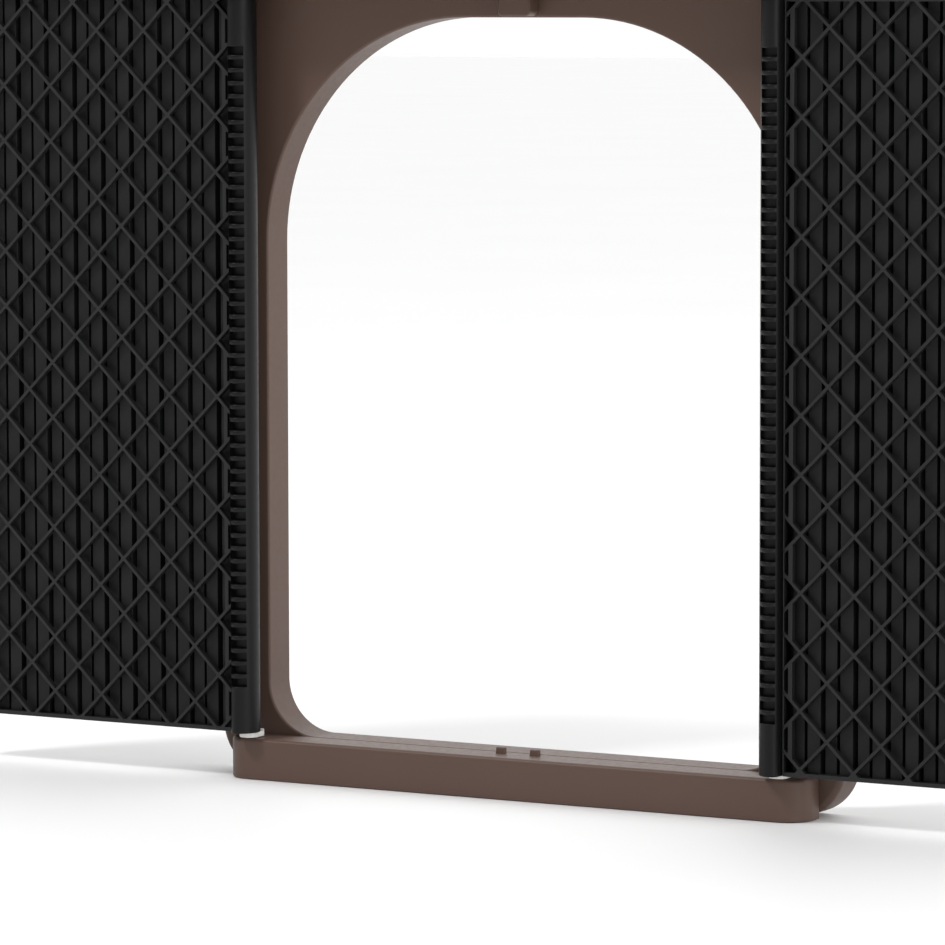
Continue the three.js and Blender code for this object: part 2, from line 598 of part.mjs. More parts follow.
// A dome on a short stem that fills a round hole in the cover.
function domeLens(radius, rise) {
  const profile = [[0, -rise]];
  for (let step = 1; step <= 4; step += 1) {
    const angle = step * Math.PI / 8;
    profile.push([radius * Math.sin(angle), -rise * Math.cos(angle)]);
  }
  profile.push([radius, 3], [0, 3]);
  return new THREE.LatheGeometry(profile.map(([r, y]) => new THREE.Vector2(r, y)), ROUND_STEPS);
}

function batteryTray() {
  const { left, right, front, back, bottom, top, wall } = BATTERY;
  const inside = box(left + wall, right - wall, front - 1, back - wall, bottom + wall, top - wall);
  return cut(box(left, right, front, back, bottom, top), inside);
}

function batteryCell() {
  return join(rodX(CELL.radius, 0, CELL.length), rodX(CELL.tipRadius, CELL.length - 0.5, CELL.tip));
}

function cellPlaces() {
  return CELL.ys.flatMap((y) => CELL.zs.map((z) => [y, z]));
}

// A plate with one raised contact for each cell.
function contactPlate(x, reach) {
  const { half, front, back, bottom, top, bump } = CONTACT;
  const sheet = box(x - half, x + half, front, back, bottom, top);
  const ends = [x, x + reach].sort((a, b) => a - b);
  const bumps = cellPlaces().map(([y, z]) => rodX(bump, ...ends, y, z, SCREW_STEPS));
  return join(sheet, ...bumps);
}

function batteryFlap() {
  const { left, right, bottom, top, front, back, hingeZ, knuckle, barrel, neck, grip, bore } = FLAP;
  const panel = extrudeY(roundedRect(left, right, bottom, top, 2, 4), front, back, 4);
  const whole = join(
    panel,
    rodX(knuckle, ...barrel, front, hingeZ, 12),
    box(...neck, front, back, hingeZ, bottom + 1),
    box(...grip, front - 1.6, front + 0.5, top - 3.5, top - 1.5));
  return cut(whole, rodX(bore, barrel[0] - 1, barrel[1] + 1, front, hingeZ, 12));
}

function dcInlet() {
  const side = FRAME.halfWidth;
  const body = rodX(INLET.body, side - 12, side + 1, INLET.y, INLET.z);
  const flange = rodX(INLET.flange, side + GAP, side + 1.8, INLET.y, INLET.z, FINE_STEPS);
  return cut(join(body, flange), rodX(INLET.bore, side - 8, side + 3, INLET.y, INLET.z));
}

function inletPlug() {
  const side = FRAME.halfWidth;
  const stem = rodX(INLET.bore - 0.4, side - 6, side + 2.5, INLET.y, INLET.z);
  const cap = rodX(6, side + 2.1, side + 4.1, INLET.y, INLET.z, FINE_STEPS);
  return join(stem, cap);
}

// ---------------------------------------------------------------------------------------------
// Assembly.
const assembly = new THREE.Group();

function place(mesh, x, y, z) {
  mesh.position.set(x, y, z);
  assembly.add(mesh);
}

function addFrameParts() {
  assembly.add(
    part('frame', frameBody(), BROWN_PLASTIC),
    part('sill_rail', sillRail(), BROWN_PLASTIC),
    part('top_backstop', topBackstop(), BROWN_PLASTIC),
    part('housing_cover', housingCover(), BROWN_PLASTIC),
    part('cover_gasket', coverGasket(), RUBBER));
  SILL_SCREW_XS.forEach((x, i) => {
    const shape = screw(SCREW.head, SCREW.headDepth, SCREW.shank, SCREW.sillLength);
    const mesh = part(`sill_screw_${i + 1}`, shape, STEEL);
    mesh.rotation.z = Math.PI;
    place(mesh, x, SCREW.seat, OPENING.sill / 2);
  });
}

function addLeafParts() {
  const sides = [
    { side: 'left', sign: -1, ends: LEAF, screwZ: GUIDE.lower },
    { side: 'right', sign: 1, ends: RIGHT_LEAF, screwZ: GUIDE.upper },
  ];
  for (const { side, sign, ends, screwZ } of sides) {
    assembly.add(
      leaf(side),
      part(`${side}_glide_shoe`, glideShoe(sign, ends.bottom), WHITE_NYLON),
      part(`${side}_hanger`, hanger(sign, ends.top, screwZ + 3.5, screwZ), STEEL));
    const fixing = part(`${side}_hanger_screw`, screw(3, 1.8, 1.2, 6.5), STEEL);
    place(fixing, sign * HANGER.middle, HANGER.front - 0.2, screwZ);
  }
  const lower = part('left_rack', rackBar(GUIDE.lower - PINION.z + PINION.radius), ACETAL);
  place(lower, 0, 0, PINION.z - PINION.radius);
  const upper = part('right_rack', rackBar(PINION.z + PINION.radius - GUIDE.upper), ACETAL);
  upper.rotation.y = Math.PI;
  place(upper, 0, 0, PINION.z + PINION.radius);
}

function addDriveParts() {
  place(part('pinion', pinionGear(), ACETAL), 0, 0, PINION.z);
  const shaft = rodY(3, PINION.front - 0.3, GEARBOX.front + GEARBOX.boreDepth - 1);
  place(part('output_shaft', shaft, STEEL), 0, 0, PINION.z);
  place(part('shaft_washer', washer(PINION.bore, 6, 12.1, 12.7), BRASS), 0, 0, PINION.z);
  const can = rodX(MOTOR.radius, MOTOR.left, MOTOR.right, MOTOR.y, PINION.z, FINE_STEPS);
  assembly.add(
    part('mechanism_plate', mechanismPlate(), STEEL),
    part('lower_guide_rail', guideRail(GUIDE.lower), STEEL),
    part('upper_guide_rail', guideRail(GUIDE.upper), STEEL),
    part('gearbox', gearboxCase(), GREY_PLASTIC),
    part('motor_can', can, STEEL),
    part('motor_end_cap', motorEndCap(), BLACK_PLASTIC),
    part('closed_limit_switch', limitSwitch(GUIDE.lower), BLACK_PLASTIC),
    part('open_limit_switch', limitSwitch(GUIDE.upper), BLACK_PLASTIC));
  COVER_SCREWS.forEach(([x, z], i) => {
    const shape = screw(SCREW.head, SCREW.headDepth, SCREW.shank, SCREW.coverLength);
    const mesh = part(`cover_screw_${i + 1}`, shape, STEEL);
    mesh.rotation.z = Math.PI;
    place(mesh, x, SCREW.seat, z);
  });
}

function addControls() {
  const board = box(BOARD.left, BOARD.right, BOARD.front, BOARD.back, BOARD.bottom, BOARD.top);
  assembly.add(
    part('control_board', board, BOARD_GREEN),
    part('display_module', displayModule(), GREY_PLASTIC),
    part('display_window', displayWindow(), DARK_LENS));
  place(part('light_sensor_lens', domeLens(4, 1.6), DARK_LENS), SENSOR_X, COVER.front, PANEL_Z);
  place(part('status_light', domeLens(2, 1), WHITE_NYLON), STATUS_X, COVER.front, PANEL_Z);
  ['open', 'close', 'menu'].forEach((task, i) => {
    place(part(`${task}_button`, pushButton(), BLACK_PLASTIC), BUTTON.xs[i], 0, PANEL_Z);
    place(part(`${task}_button_switch`, buttonSwitch(), BLACK_PLASTIC), BUTTON.xs[i], 0, PANEL_Z);
  });
}

function addPower() {
  const { left, right, wall } = BATTERY;
  const springs = contactPlate(left + wall + CONTACT.inset, CONTACT_REACH.spring);
  const buttons = contactPlate(right - wall - CONTACT.inset, CONTACT_REACH.button);
  assembly.add(
    part('battery_tray', batteryTray(), BLACK_PLASTIC),
    part('battery_cover', batteryFlap(), BROWN_PLASTIC),
    part('battery_cover_pin', rodX(1, ...FLAP.pin, FLAP.front, FLAP.hingeZ, 12), STEEL),
    part('spring_contact_plate', springs, STEEL),
    part('button_contact_plate', buttons, STEEL),
    part('dc_inlet', dcInlet(), BLACK_PLASTIC),
    part('inlet_plug', inletPlug(), RUBBER));
  cellPlaces().forEach(([y, z], i) => {
    place(part(`battery_cell_${i + 1}`, batteryCell(), CELL_WRAP), CELL.left, y, z);
  });
}

addFrameParts();
addLeafParts();
addDriveParts();
addControls();
addPower();
assembly.position.y = -(FLAP.front - FLAP.knuckle + FRAME.back) / 2;

const door = new THREE.Group();
door.add(assembly);

export default door;
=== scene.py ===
"""Looks of the automatic coop door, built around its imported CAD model.

Lengths are in millimetres until a mesh is made, and metres after that. +X is to the right, +Y goes from the
front to the wall and +Z is up. Depths are given from the front of the lattice, as in the CAD source, and
DEPTH_SHIFT moves them to the model's own frame.
"""
import json
import math

import bmesh
import bpy
from mathutils import Matrix, Vector
from mathutils.geometry import delaunay_2d_cdt, tessellate_polygon


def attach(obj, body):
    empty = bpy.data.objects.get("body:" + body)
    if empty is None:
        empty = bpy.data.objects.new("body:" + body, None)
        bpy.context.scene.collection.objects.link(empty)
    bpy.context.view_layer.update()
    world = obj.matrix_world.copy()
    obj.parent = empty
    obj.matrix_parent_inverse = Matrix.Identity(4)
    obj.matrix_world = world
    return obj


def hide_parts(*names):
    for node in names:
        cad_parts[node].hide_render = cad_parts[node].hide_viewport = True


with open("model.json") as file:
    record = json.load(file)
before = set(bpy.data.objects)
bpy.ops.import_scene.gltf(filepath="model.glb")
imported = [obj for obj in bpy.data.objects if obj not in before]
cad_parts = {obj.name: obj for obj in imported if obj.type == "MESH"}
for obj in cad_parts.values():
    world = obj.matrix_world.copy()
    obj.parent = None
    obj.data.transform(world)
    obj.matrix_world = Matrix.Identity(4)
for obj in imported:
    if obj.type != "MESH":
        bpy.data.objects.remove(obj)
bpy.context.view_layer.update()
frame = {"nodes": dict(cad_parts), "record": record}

MM = 0.001
DEPTH_SHIFT = -10.7
ROOT_BODY = "housing"

# ---------------------------------------------------------------------------------------------
# Driving dimensions, the same as the CAD's.
FRAME = {"half": 155, "height": 452, "front": 20.5, "back": 38.2, "foot": 23, "top": 12}
OPENING = {"half": 129.5, "sill": 18.4, "top": 339.8, "top_radius": 100, "sill_radius": 24}
POCKET = {"front": 24.5, "wall": 3, "rib": 2, "pitch": 46, "boss": 5.5}
TRAY = {"floor": 353, "inside": 355.5, "back": 35.7, "top": 449.5}
COVER = {"front": -12, "bottom": 353, "lip_back": -0.5, "wall": 2.5}
RAIL = {"half": 143.7, "front": 3, "height": 18.4, "radius": 12}
LUG = {"inner": 6.3, "outer": 10.6, "front": 14.4, "back": 17.4, "height": 2.7}
LEAF = {"outer": 283.5, "bottom": 21.4, "top": 349.7, "turn_z": 185.05}
LATTICE = {"inner": 135.8, "strip": 0.7, "half": 12.5, "column": 144, "first_row": 346.4, "rib": 1.4,
           "rim": 1.8, "inner_rim": (138.4, 140.4), "depth": 3, "least": 6}
SLATS = [{"first": 138.85, "width": 5.5, "front": 4.35}, {"first": 146.1, "width": 6.1, "front": 3.3}]
SKIN = {"pitch": 15.1, "groove_floor": 8.6, "back": 10.4, "sheet": 1.5, "wall": 1.8, "wall_front": 3.4}
EDGE = {"axis": 133, "depth": 2.2, "radius": 8.2, "corner": 3.95, "meet": 20, "flat": 135.5}
SLOTS = {"low": 42.5, "high": 327.0, "count": 50, "fin": 2.1, "floor": -1.0, "nose_angle": -43,
         "corner_angle": 220, "soft": 0.55}
SHOE = {"inner": 127, "outer": 136, "front": 2, "back": 12, "step": 10.7, "height": 22, "round": 4}
HANGER = {"inner": 127, "outer": 140, "foot_outer": 281, "foot_front": 0.8, "foot_back": 10.2, "thick": 2.4,
          "front": 1.5, "back": 4.5, "screw_z": {"left": 362, "right": 404}}
COVER_SCREWS = [(-145.5, 380), (145.5, 380), (-145.5, 440), (145.5, 440)]
SILL_SCREWS = [(-92, 9.2), (92, 9.2)]
WALL_HOLES = [(-142.3, 60), (142.3, 60), (-142.3, 250), (142.3, 250)]
POSTS = [(x, z) for x in (-120, 120) for z in (362, 404)]
SCREW_SEAT = 35.7
COVER_SCREW_LENGTH = 22
SILL_SCREW_LENGTH = 26
BUTTONS = {"open": 10, "close": 28, "menu": 46}
BUTTON = {"radius": 4.7, "hole": 5, "flange": 6.2, "front": -13.5, "rim": -9.2, "rear": -8, "stem": -7.2}
DISPLAY = {"x": -40, "half_width": 24, "half_height": 8.5, "front": -11.6, "back": -9.5}
SENSOR_X = -100
STATUS_X = -78
PANEL = {"x0": -112, "x1": 62, "z0": 415, "z1": 441, "depth": 0.4}
FLAP = {"left": 72, "right": 132, "bottom": 413.6, "top": 446.5, "front": -14.6, "back": -12.4,
        "hinge_z": 411.2, "knuckle": 2.2, "barrel": (82, 122), "neck": (84, 120),
        "lugs": [(77, 81.6), (122.4, 127)], "bore": 1.3, "pin": (77.5, 126.5), "grip": (95, 109)}
GROOVES = {"count": 6, "first": 6, "pitch": 3, "height": 1.2, "left": 92, "right": 112, "depth": 0.35}
CELL = {"left": 77.6, "radius": 7.1, "end": 126.6, "tip": 128.1, "tip_radius": 2.7, "ys": (3.5, 19.5),
        "zs": (421.7, 436.8)}
TRAY_BOX = {"left": 69, "right": 134, "front": -6, "back": 31, "bottom": 412.5, "top": 446, "wall": 1.5}
INLET = {"y": 29, "z": 425, "body": 5.2, "flange": 7, "bore": 3.2, "side": 155}
MARK_FRONT = -15
MARK_FLOOR = -13.15
GAP = 0.3
PANEL_Z = 428
CRISP = 0.01
MANY_LOOPS = 50


# ---------------------------------------------------------------------------------------------
# Outlines in two dimensions, as lists of (u, v) that go anticlockwise.
def arc(cu, cv, radius, start, end, steps):
    """Points on an arc, both ends included. Angles in degrees."""
    angles = [math.radians(start + (end - start) * i / steps) for i in range(steps + 1)]
    return [(cu + radius * math.cos(a), cv + radius * math.sin(a)) for a in angles]


def rounded_rect(u0, u1, v0, v1, low, high=None, steps=16):
    """A rectangle whose two lower and two upper corners have their own radii."""
    high = low if high is None else high
    return (arc(u1 - low, v0 + low, low, -90, 0, steps) + arc(u1 - high, v1 - high, high, 0, 90, steps)
            + arc(u0 + high, v1 - high, high, 90, 180, steps) + arc(u0 + low, v0 + low, low, 180, 270, steps))


def circle(cu, cv, radius, steps=32):
    return arc(cu, cv, radius, 0, 360, steps)[:-1]


def clean(points, least=1e-4):
    """The outline without points that repeat."""
    kept = []
    for point in points:
        if not kept or math.dist(point, kept[-1]) > least:
            kept.append(point)
    while len(kept) > 1 and math.dist(kept[0], kept[-1]) <= least:
        kept.pop()
    return kept


def area(points):
    pairs = zip(points, points[1:] + points[:1])
    return sum(a[0] * b[1] - b[0] * a[1] for a, b in pairs) / 2


def offset(points, distances):
    """Moves each point outwards by its own distance, along the mitre of its two edges."""
    moved = []
    count = len(points)
    for i, point in enumerate(points):
        before = Vector(points[i - 1])
        here = Vector(point)
        after = Vector(points[(i + 1) % count])
        first = (here - before).normalized()
        second = (after - here).normalized()
        normal = Vector((first.y + second.y, -first.x - second.x))
        mitre = normal.length_squared / 2
        moved.append(tuple(here + normal * (distances[i] / mitre)))
    return moved


def rounded(points, radius, steps=3):
    """The polygon with each corner replaced by an arc."""
    out = []
    count = len(points)
    for i, point in enumerate(points):
        here = Vector(point)
        to_before = Vector(points[i - 1]) - here
        to_after = Vector(points[(i + 1) % count]) - here
        angle = to_before.angle(to_after)
        if angle > math.radians(177):
            out.append(point)
            continue
        reach = min(radius / math.tan(angle / 2), 0.45 * to_before.length, 0.45 * to_after.length)
        start = here + to_before.normalized() * reach
        end = here + to_after.normalized() * reach
        for step in range(steps + 1):
            t = step / steps
            out.append(tuple(start * (1 - t) ** 2 + here * 2 * t * (1 - t) + end * t ** 2))
    return out


def divided(points, longest):
    """The outline with extra points on its long straight runs."""
    out = []
    for a, b in zip(points, points[1:] + points[:1]):
        parts = max(1, math.ceil(math.dist(a, b) / longest))
        out += [(a[0] + (b[0] - a[0]) * i / parts, a[1] + (b[1] - a[1]) * i / parts) for i in range(parts)]
    return out


# ---------------------------------------------------------------------------------------------
# Meshes. A builder makes points (u, v, w) and turns them into the model's frame with one of these.
def along_y(u, v, w):
    return (u, w, v)


def along_z(u, v, w):
    return (u, v, w)


def along_x(u, v, w):
    return (w, u, v)


def finish_mesh(name, verts, faces):
    """A mesh object in metres, with its normals outwards."""
    mesh = bpy.data.meshes.new(name)
    mesh.from_pydata([(x * MM, (y + DEPTH_SHIFT) * MM, z * MM) for x, y, z in verts], [], faces)
    bm = bmesh.new()
    bm.from_mesh(mesh)
    bmesh.ops.remove_doubles(bm, verts=bm.verts, dist=1e-7)
    bmesh.ops.recalc_face_normals(bm, faces=bm.faces)
    bm.to_mesh(mesh)
    bm.free()
    obj = bpy.data.objects.new(name, mesh)
    bpy.context.scene.collection.objects.link(obj)
    return obj


def edge_rings(steps):
    """A slab's rings from its low face to its high one, as (end, inset, rise), in shares of the radius."""
    rings = []
    for i in range(steps + 1):
        a = math.pi / 2 * i / steps
        rings.append(("low", 1 - math.sin(a), 1 - math.cos(a)))
    for i in range(steps, -1, -1):
        a = math.pi / 2 * i / steps
        rings.append(("high", 1 - math.sin(a), 1 - math.cos(a)))
    return rings


def fill(loops):
    """Triangles between an outline and its holes, as indices into the points of all the loops in order. The
    Delaunay fill is for the lattices, whose hundreds of windows are too many for the polygon fill."""
    if len(loops) < MANY_LOOPS:
        return tessellate_polygon([[Vector((u, v, 0)) for u, v in loop] for loop in loops])
    points = [Vector(point) for loop in loops for point in loop]
    outlines, start = [], 0
    for loop in loops:
        outlines.append(list(range(start, start + len(loop))))
        start += len(loop)
    inside_only, apart = 1, 1e-4
    filled = delaunay_2d_cdt(points, [], outlines, inside_only, apart)
    _, _, triangles, point_sources, _, face_sources = filled
    return [tuple(point_sources[i][0] for i in triangle)
            for triangle, sources in zip(triangles, face_sources) if list(sources) == [0]]


def slab(name, outer, w0, w1, holes=(), low=0.3, high=0.3, turn=along_y, steps=3,
         hole_low=None, hole_high=None):
    """An outline pushed from w0 to w1, with rounded edges at both faces. low and high are radii, or functions
    that give the radius at a point of the outline."""
    def radius(rule, point):
        return rule(*point) if callable(rule) else rule

    hole_low = low if hole_low is None else hole_low
    hole_high = high if hole_high is None else hole_high
    verts, faces, loops = [], [], []
    for is_hole, points in [(False, clean(outer))] + [(True, clean(h)) for h in holes]:
        if area(points) < 0:
            points = points[::-1]
        rules = {"low": hole_low if is_hole else low, "high": hole_high if is_hole else high}
        rings = []
        for end, share, rise in edge_rings(steps):
            radii = [radius(rules[end], p) for p in points]
            sign = 1 if is_hole else -1
            ring = offset(points, [sign * r * share for r in radii])
            heights = [w0 + r * rise if end == "low" else w1 - r * rise for r in radii]
            rings.append([(u, v, w) for (u, v), w in zip(ring, heights)])
        start = len(verts)
        size = len(points)
        for ring in rings:
            verts += [turn(*p) for p in ring]
        for k in range(len(rings) - 1):
            for i in range(size):
                j = (i + 1) % size
                a = start + k * size
                faces.append((a + i, a + j, a + size + j, a + size + i))
        loops.append((start, size, rings))
    for ring_index in (0, -1):
        flat, where = [], []
        for start, size, rings in loops:
            flat.append([(u, v) for u, v, _ in rings[ring_index]])
            base = start + (0 if ring_index == 0 else (len(rings) - 1) * size)
            where += list(range(base, base + size))
        faces += [tuple(where[i] for i in tri) for tri in fill(flat)]
    return finish_mesh(name, verts, faces)


def stack(name, rings, turn=along_z):
    """A solid through rings of points that all have the same count, closed at both ends."""
    verts = [turn(*p) for ring in rings for p in ring]
    size = len(rings[0])
    faces = []
    for k in range(len(rings) - 1):
        for i in range(size):
            j = (i + 1) % size
            faces.append((k * size + i, k * size + j, (k + 1) * size + j, (k + 1) * size + i))
    for ring, base in ((rings[0], 0), (rings[-1], (len(rings) - 1) * size)):
        flat = [Vector((u, v, 0)) for u, v, _ in ring]
        faces += [tuple(base + i for i in tri) for tri in tessellate_polygon([flat])]
    return finish_mesh(name, verts, faces)


def lathe(name, profile, centre, turn=along_y, steps=48):
    """A profile of (radius, height) turned round an axis through centre (u, v), from the axis to the axis."""
    rings = []
    tip = 0.05
    for radius, height in profile:
        spread = max(radius, tip)
        rings.append([(u, v, height) for u, v in circle(*centre, spread, steps)])
    return stack(name, rings, turn)


def baked(obj):
    """The object's mesh with its modifiers applied."""
    graph = bpy.context.evaluated_depsgraph_get()
    mesh = bpy.data.meshes.new_from_object(obj.evaluated_get(graph))
    obj.modifiers.clear()
    obj.data = mesh
    return obj


def combine(target, tools, operation):
    """Cuts the tools out of the target, or joins them to it."""
    for tool in tools:
        change = target.modifiers.new(operation.lower(), "BOOLEAN")
        change.operation = operation
        change.solver = "EXACT"
        change.object = tool
    baked(target)
    for tool in tools:
        bpy.data.objects.remove(tool)
    return target


def cut(target, *tools):
    return combine(target, tools, "DIFFERENCE")


def join(target, *tools):
    return combine(target, tools, "UNION")


def merge(target, other):
    """Puts another object's mesh into the target's, where the two only touch or overlap out of sight."""
    bm = bmesh.new()
    for obj in (target, other):
        bm.from_mesh(obj.data)
    bm.to_mesh(target.data)
    bm.free()
    bpy.data.objects.remove(other)
    return target


def rod(name, centre, radius, w0, w1, turn=along_y, steps=32, edge=0.0):
    profile = [(radius - edge, w0), (radius, w0 + edge), (radius, w1 - edge), (radius - edge, w1)]
    if edge == 0:
        profile = [(radius, w0), (radius, w1)]
    rings = [[(u, v, w) for u, v in circle(*centre, r, steps)] for r, w in profile]
    return stack(name, rings, turn)


def block(name, x0, x1, y0, y1, z0, z1, edge=0.3):
    """A box with rounded edges all round."""
    return slab(name, rounded_rect(x0, x1, z0, z1, edge, steps=3), y0, y1, low=edge, high=edge, steps=3)


def shade(obj, sharp=35):
    """Smooth shading that keeps the edges sharper than an angle in degrees."""
    for polygon in obj.data.polygons:
        polygon.use_smooth = True
    obj.data.set_sharp_from_angle(angle=math.radians(sharp))
    normals = obj.modifiers.new("normals", "WEIGHTED_NORMAL")
    normals.keep_sharp = True
    return obj


def soften(obj, width, angle=50, segments=2):
    """Rounds the edges sharper than an angle in degrees."""
    bevel = obj.modifiers.new("edges", "BEVEL")
    bevel.width = width * MM
    bevel.segments = segments
    bevel.limit_method = "ANGLE"
    bevel.angle_limit = math.radians(angle)
    bevel.miter_outer = "MITER_ARC"
    bevel.use_clamp_overlap = True
    return baked(obj)


# ---------------------------------------------------------------------------------------------
# Materials.
def srgb(r, g, b):
    """Linear colour from values of 0 to 255."""
    def linear(value):
        value /= 255
        return value / 12.92 if value <= 0.04045 else ((value + 0.055) / 1.055) ** 2.4
    return (linear(r), linear(g), linear(b), 1)


class Finish:
    """A material and its node tree, with short ways to add and link nodes."""

    def __init__(self, name):
        self.material = bpy.data.materials.new(name)
        self.material.use_nodes = True
        self.nodes = self.material.node_tree.nodes
        self.links = self.material.node_tree.links
        self.shader = self.nodes["Principled BSDF"]
        place = self.nodes.new("ShaderNodeTexCoord")
        self.place = place.outputs["Object"]

    def noise(self, scale, detail=3, stretch=(1, 1, 1), rough=0.5):
        mapping = self.nodes.new("ShaderNodeMapping")
        mapping.inputs["Scale"].default_value = stretch
        self.links.new(self.place, mapping.inputs["Vector"])
        noise = self.nodes.new("ShaderNodeTexNoise")
        noise.inputs["Scale"].default_value = scale
        noise.inputs["Detail"].default_value = detail
        noise.inputs["Roughness"].default_value = rough
        self.links.new(mapping.outputs["Vector"], noise.inputs["Vector"])
        return noise.outputs["Fac"]

    def span(self, value, low, high, start=0.3, end=0.7):
        """Maps start..end of a value to low..high."""
        node = self.nodes.new("ShaderNodeMapRange")
        node.inputs["From Min"].default_value = start
        node.inputs["From Max"].default_value = end
        node.inputs["To Min"].default_value = low
        node.inputs["To Max"].default_value = high
        self.links.new(value, node.inputs["Value"])
        return node.outputs["Result"]

    def colours(self, value, stops):
        ramp = self.nodes.new("ShaderNodeValToRGB")
        ramp.color_ramp.elements[0].position = stops[0][0]
        ramp.color_ramp.elements[0].color = stops[0][1]
        ramp.color_ramp.elements[1].position = stops[-1][0]
        ramp.color_ramp.elements[1].color = stops[-1][1]
        for position, colour in stops[1:-1]:
            ramp.color_ramp.elements.new(position).color = colour
        self.links.new(value, ramp.inputs["Fac"])
        return ramp.outputs["Color"]

    def bump(self, layers):
        """Bumps on top of each other, as (height value, depth in millimetres, strength)."""
        normal = None
        for value, depth, strength in layers:
            node = self.nodes.new("ShaderNodeBump")
            node.inputs["Strength"].default_value = strength
            node.inputs["Distance"].default_value = depth * MM
            self.links.new(value, node.inputs["Height"])
            if normal is not None:
                self.links.new(normal, node.inputs["Normal"])
            normal = node.outputs["Normal"]
        self.links.new(normal, self.shader.inputs["Normal"])

    def put(self, socket, value):
        if isinstance(value, bpy.types.NodeSocket):
            self.links.new(value, self.shader.inputs[socket])
        else:
            self.shader.inputs[socket].default_value = value


def tinted(colour, factor):
    return tuple(min(1, c * factor) for c in colour[:3]) + (1,)


def moulded(name, colour, roughness, specular, grain=0.03, cloud=0.05):
    """Moulded plastic: spark-eroded grain, faint clouds in the colour, and gloss that varies a little."""
    finish = Finish(name)
    clouds = finish.noise(9, 2)
    fine = finish.noise(2600, 2, rough=0.6)
    waves = finish.noise(55, 2)
    flow = finish.colours(clouds, [(0.3, tinted(colour, 1 - cloud)), (0.7, tinted(colour, 1 + cloud))])
    finish.put("Base Color", flow)
    finish.put("Roughness", finish.span(finish.noise(420, 4), roughness - 0.05, roughness + 0.05))
    finish.put("Specular IOR Level", specular)
    finish.bump([(waves, 0.05, 0.12), (fine, grain, 0.35)])
    return finish.material


def polished(name, colour, roughness=0.08):
    """Clear-faced moulding: smooth, with faint waves."""
    finish = Finish(name)
    finish.put("Base Color", finish.colours(finish.noise(60, 2), [(0.3, colour), (0.7, tinted(colour, 1.2))]))
    finish.put("Roughness", finish.span(finish.noise(300, 3), roughness, roughness + 0.04))
    finish.bump([(finish.noise(40, 1), 0.02, 0.1)])
    return finish.material


def metal(name, colour, roughness, stretch=(1, 40, 40)):
    """Metal with fine lines along X."""
    finish = Finish(name)
    lines = finish.noise(90, 4, stretch)
    shades = finish.colours(lines, [(0.3, tinted(colour, 0.86)), (0.7, tinted(colour, 1.05))])
    finish.put("Base Color", shades)
    finish.put("Metallic", 1)
    finish.put("Roughness", finish.span(lines, roughness - 0.06, roughness + 0.1))
    finish.bump([(lines, 0.01, 0.2)])
    return finish.material


def make_materials():
    return {
        "brown_plastic": moulded("brown_plastic", srgb(95, 75, 66), 0.45, 0.3),
        # The lattice is the leaf's black plastic painted lighter: a painted highlight for the light its ribs
        # catch.
        "lattice": moulded("lattice", srgb(34, 34, 35), 0.45, 0.3),
        # The closing edge is the same black plastic painted darker: painted shade on the noses.
        "closing_edge": moulded("closing_edge", srgb(16, 16, 17), 0.42, 0.22),
        "black_plastic": moulded("black_plastic", srgb(27, 27, 27.5), 0.5, 0.22),
        "white_nylon": moulded("white_nylon", srgb(236, 235, 230), 0.4, 0.5, grain=0.01, cloud=0.02),
        "acetal": moulded("acetal", srgb(226, 224, 214), 0.35, 0.5, grain=0.01, cloud=0.02),
        "grey_plastic": moulded("grey_plastic", srgb(140, 144, 147), 0.45, 0.5),
        "rubber": moulded("rubber", srgb(26, 26, 27), 0.8, 0.25, grain=0.05),
        "board": moulded("board", srgb(32, 92, 54), 0.4, 0.5, grain=0.01, cloud=0.1),
        "cell_wrap": moulded("cell_wrap", srgb(46, 82, 128), 0.25, 0.5, grain=0.005),
        "dark_lens": polished("dark_lens", srgb(14, 18, 22)),
        "status_lens": polished("status_lens", srgb(170, 205, 170), 0.2),
        "steel": metal("steel", srgb(176, 178, 180), 0.32),
        "brass": metal("brass", srgb(192, 166, 104), 0.3),
    }


FINISHES = make_materials()


def done(obj, body, slot, *nodes, sharp=35, look=None):
    """Gives a new piece its finish and its body, and lets it stand for CAD nodes. Without sharp it has flat
    shading."""
    obj.data.materials.clear()
    obj.data.materials.append(FINISHES[look or slot])
    if sharp is not None:
        shade(obj, sharp)
    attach(obj, body)
    if nodes:
        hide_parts(*nodes)
    return obj


# ---------------------------------------------------------------------------------------------
# Frame and sill.
def arch(outset):
    reach = OPENING["half"] + outset
    return rounded_rect(-reach, reach, OPENING["sill"] - outset, OPENING["top"] + outset,
                        OPENING["sill_radius"] + outset, OPENING["top_radius"] + outset, steps=32)


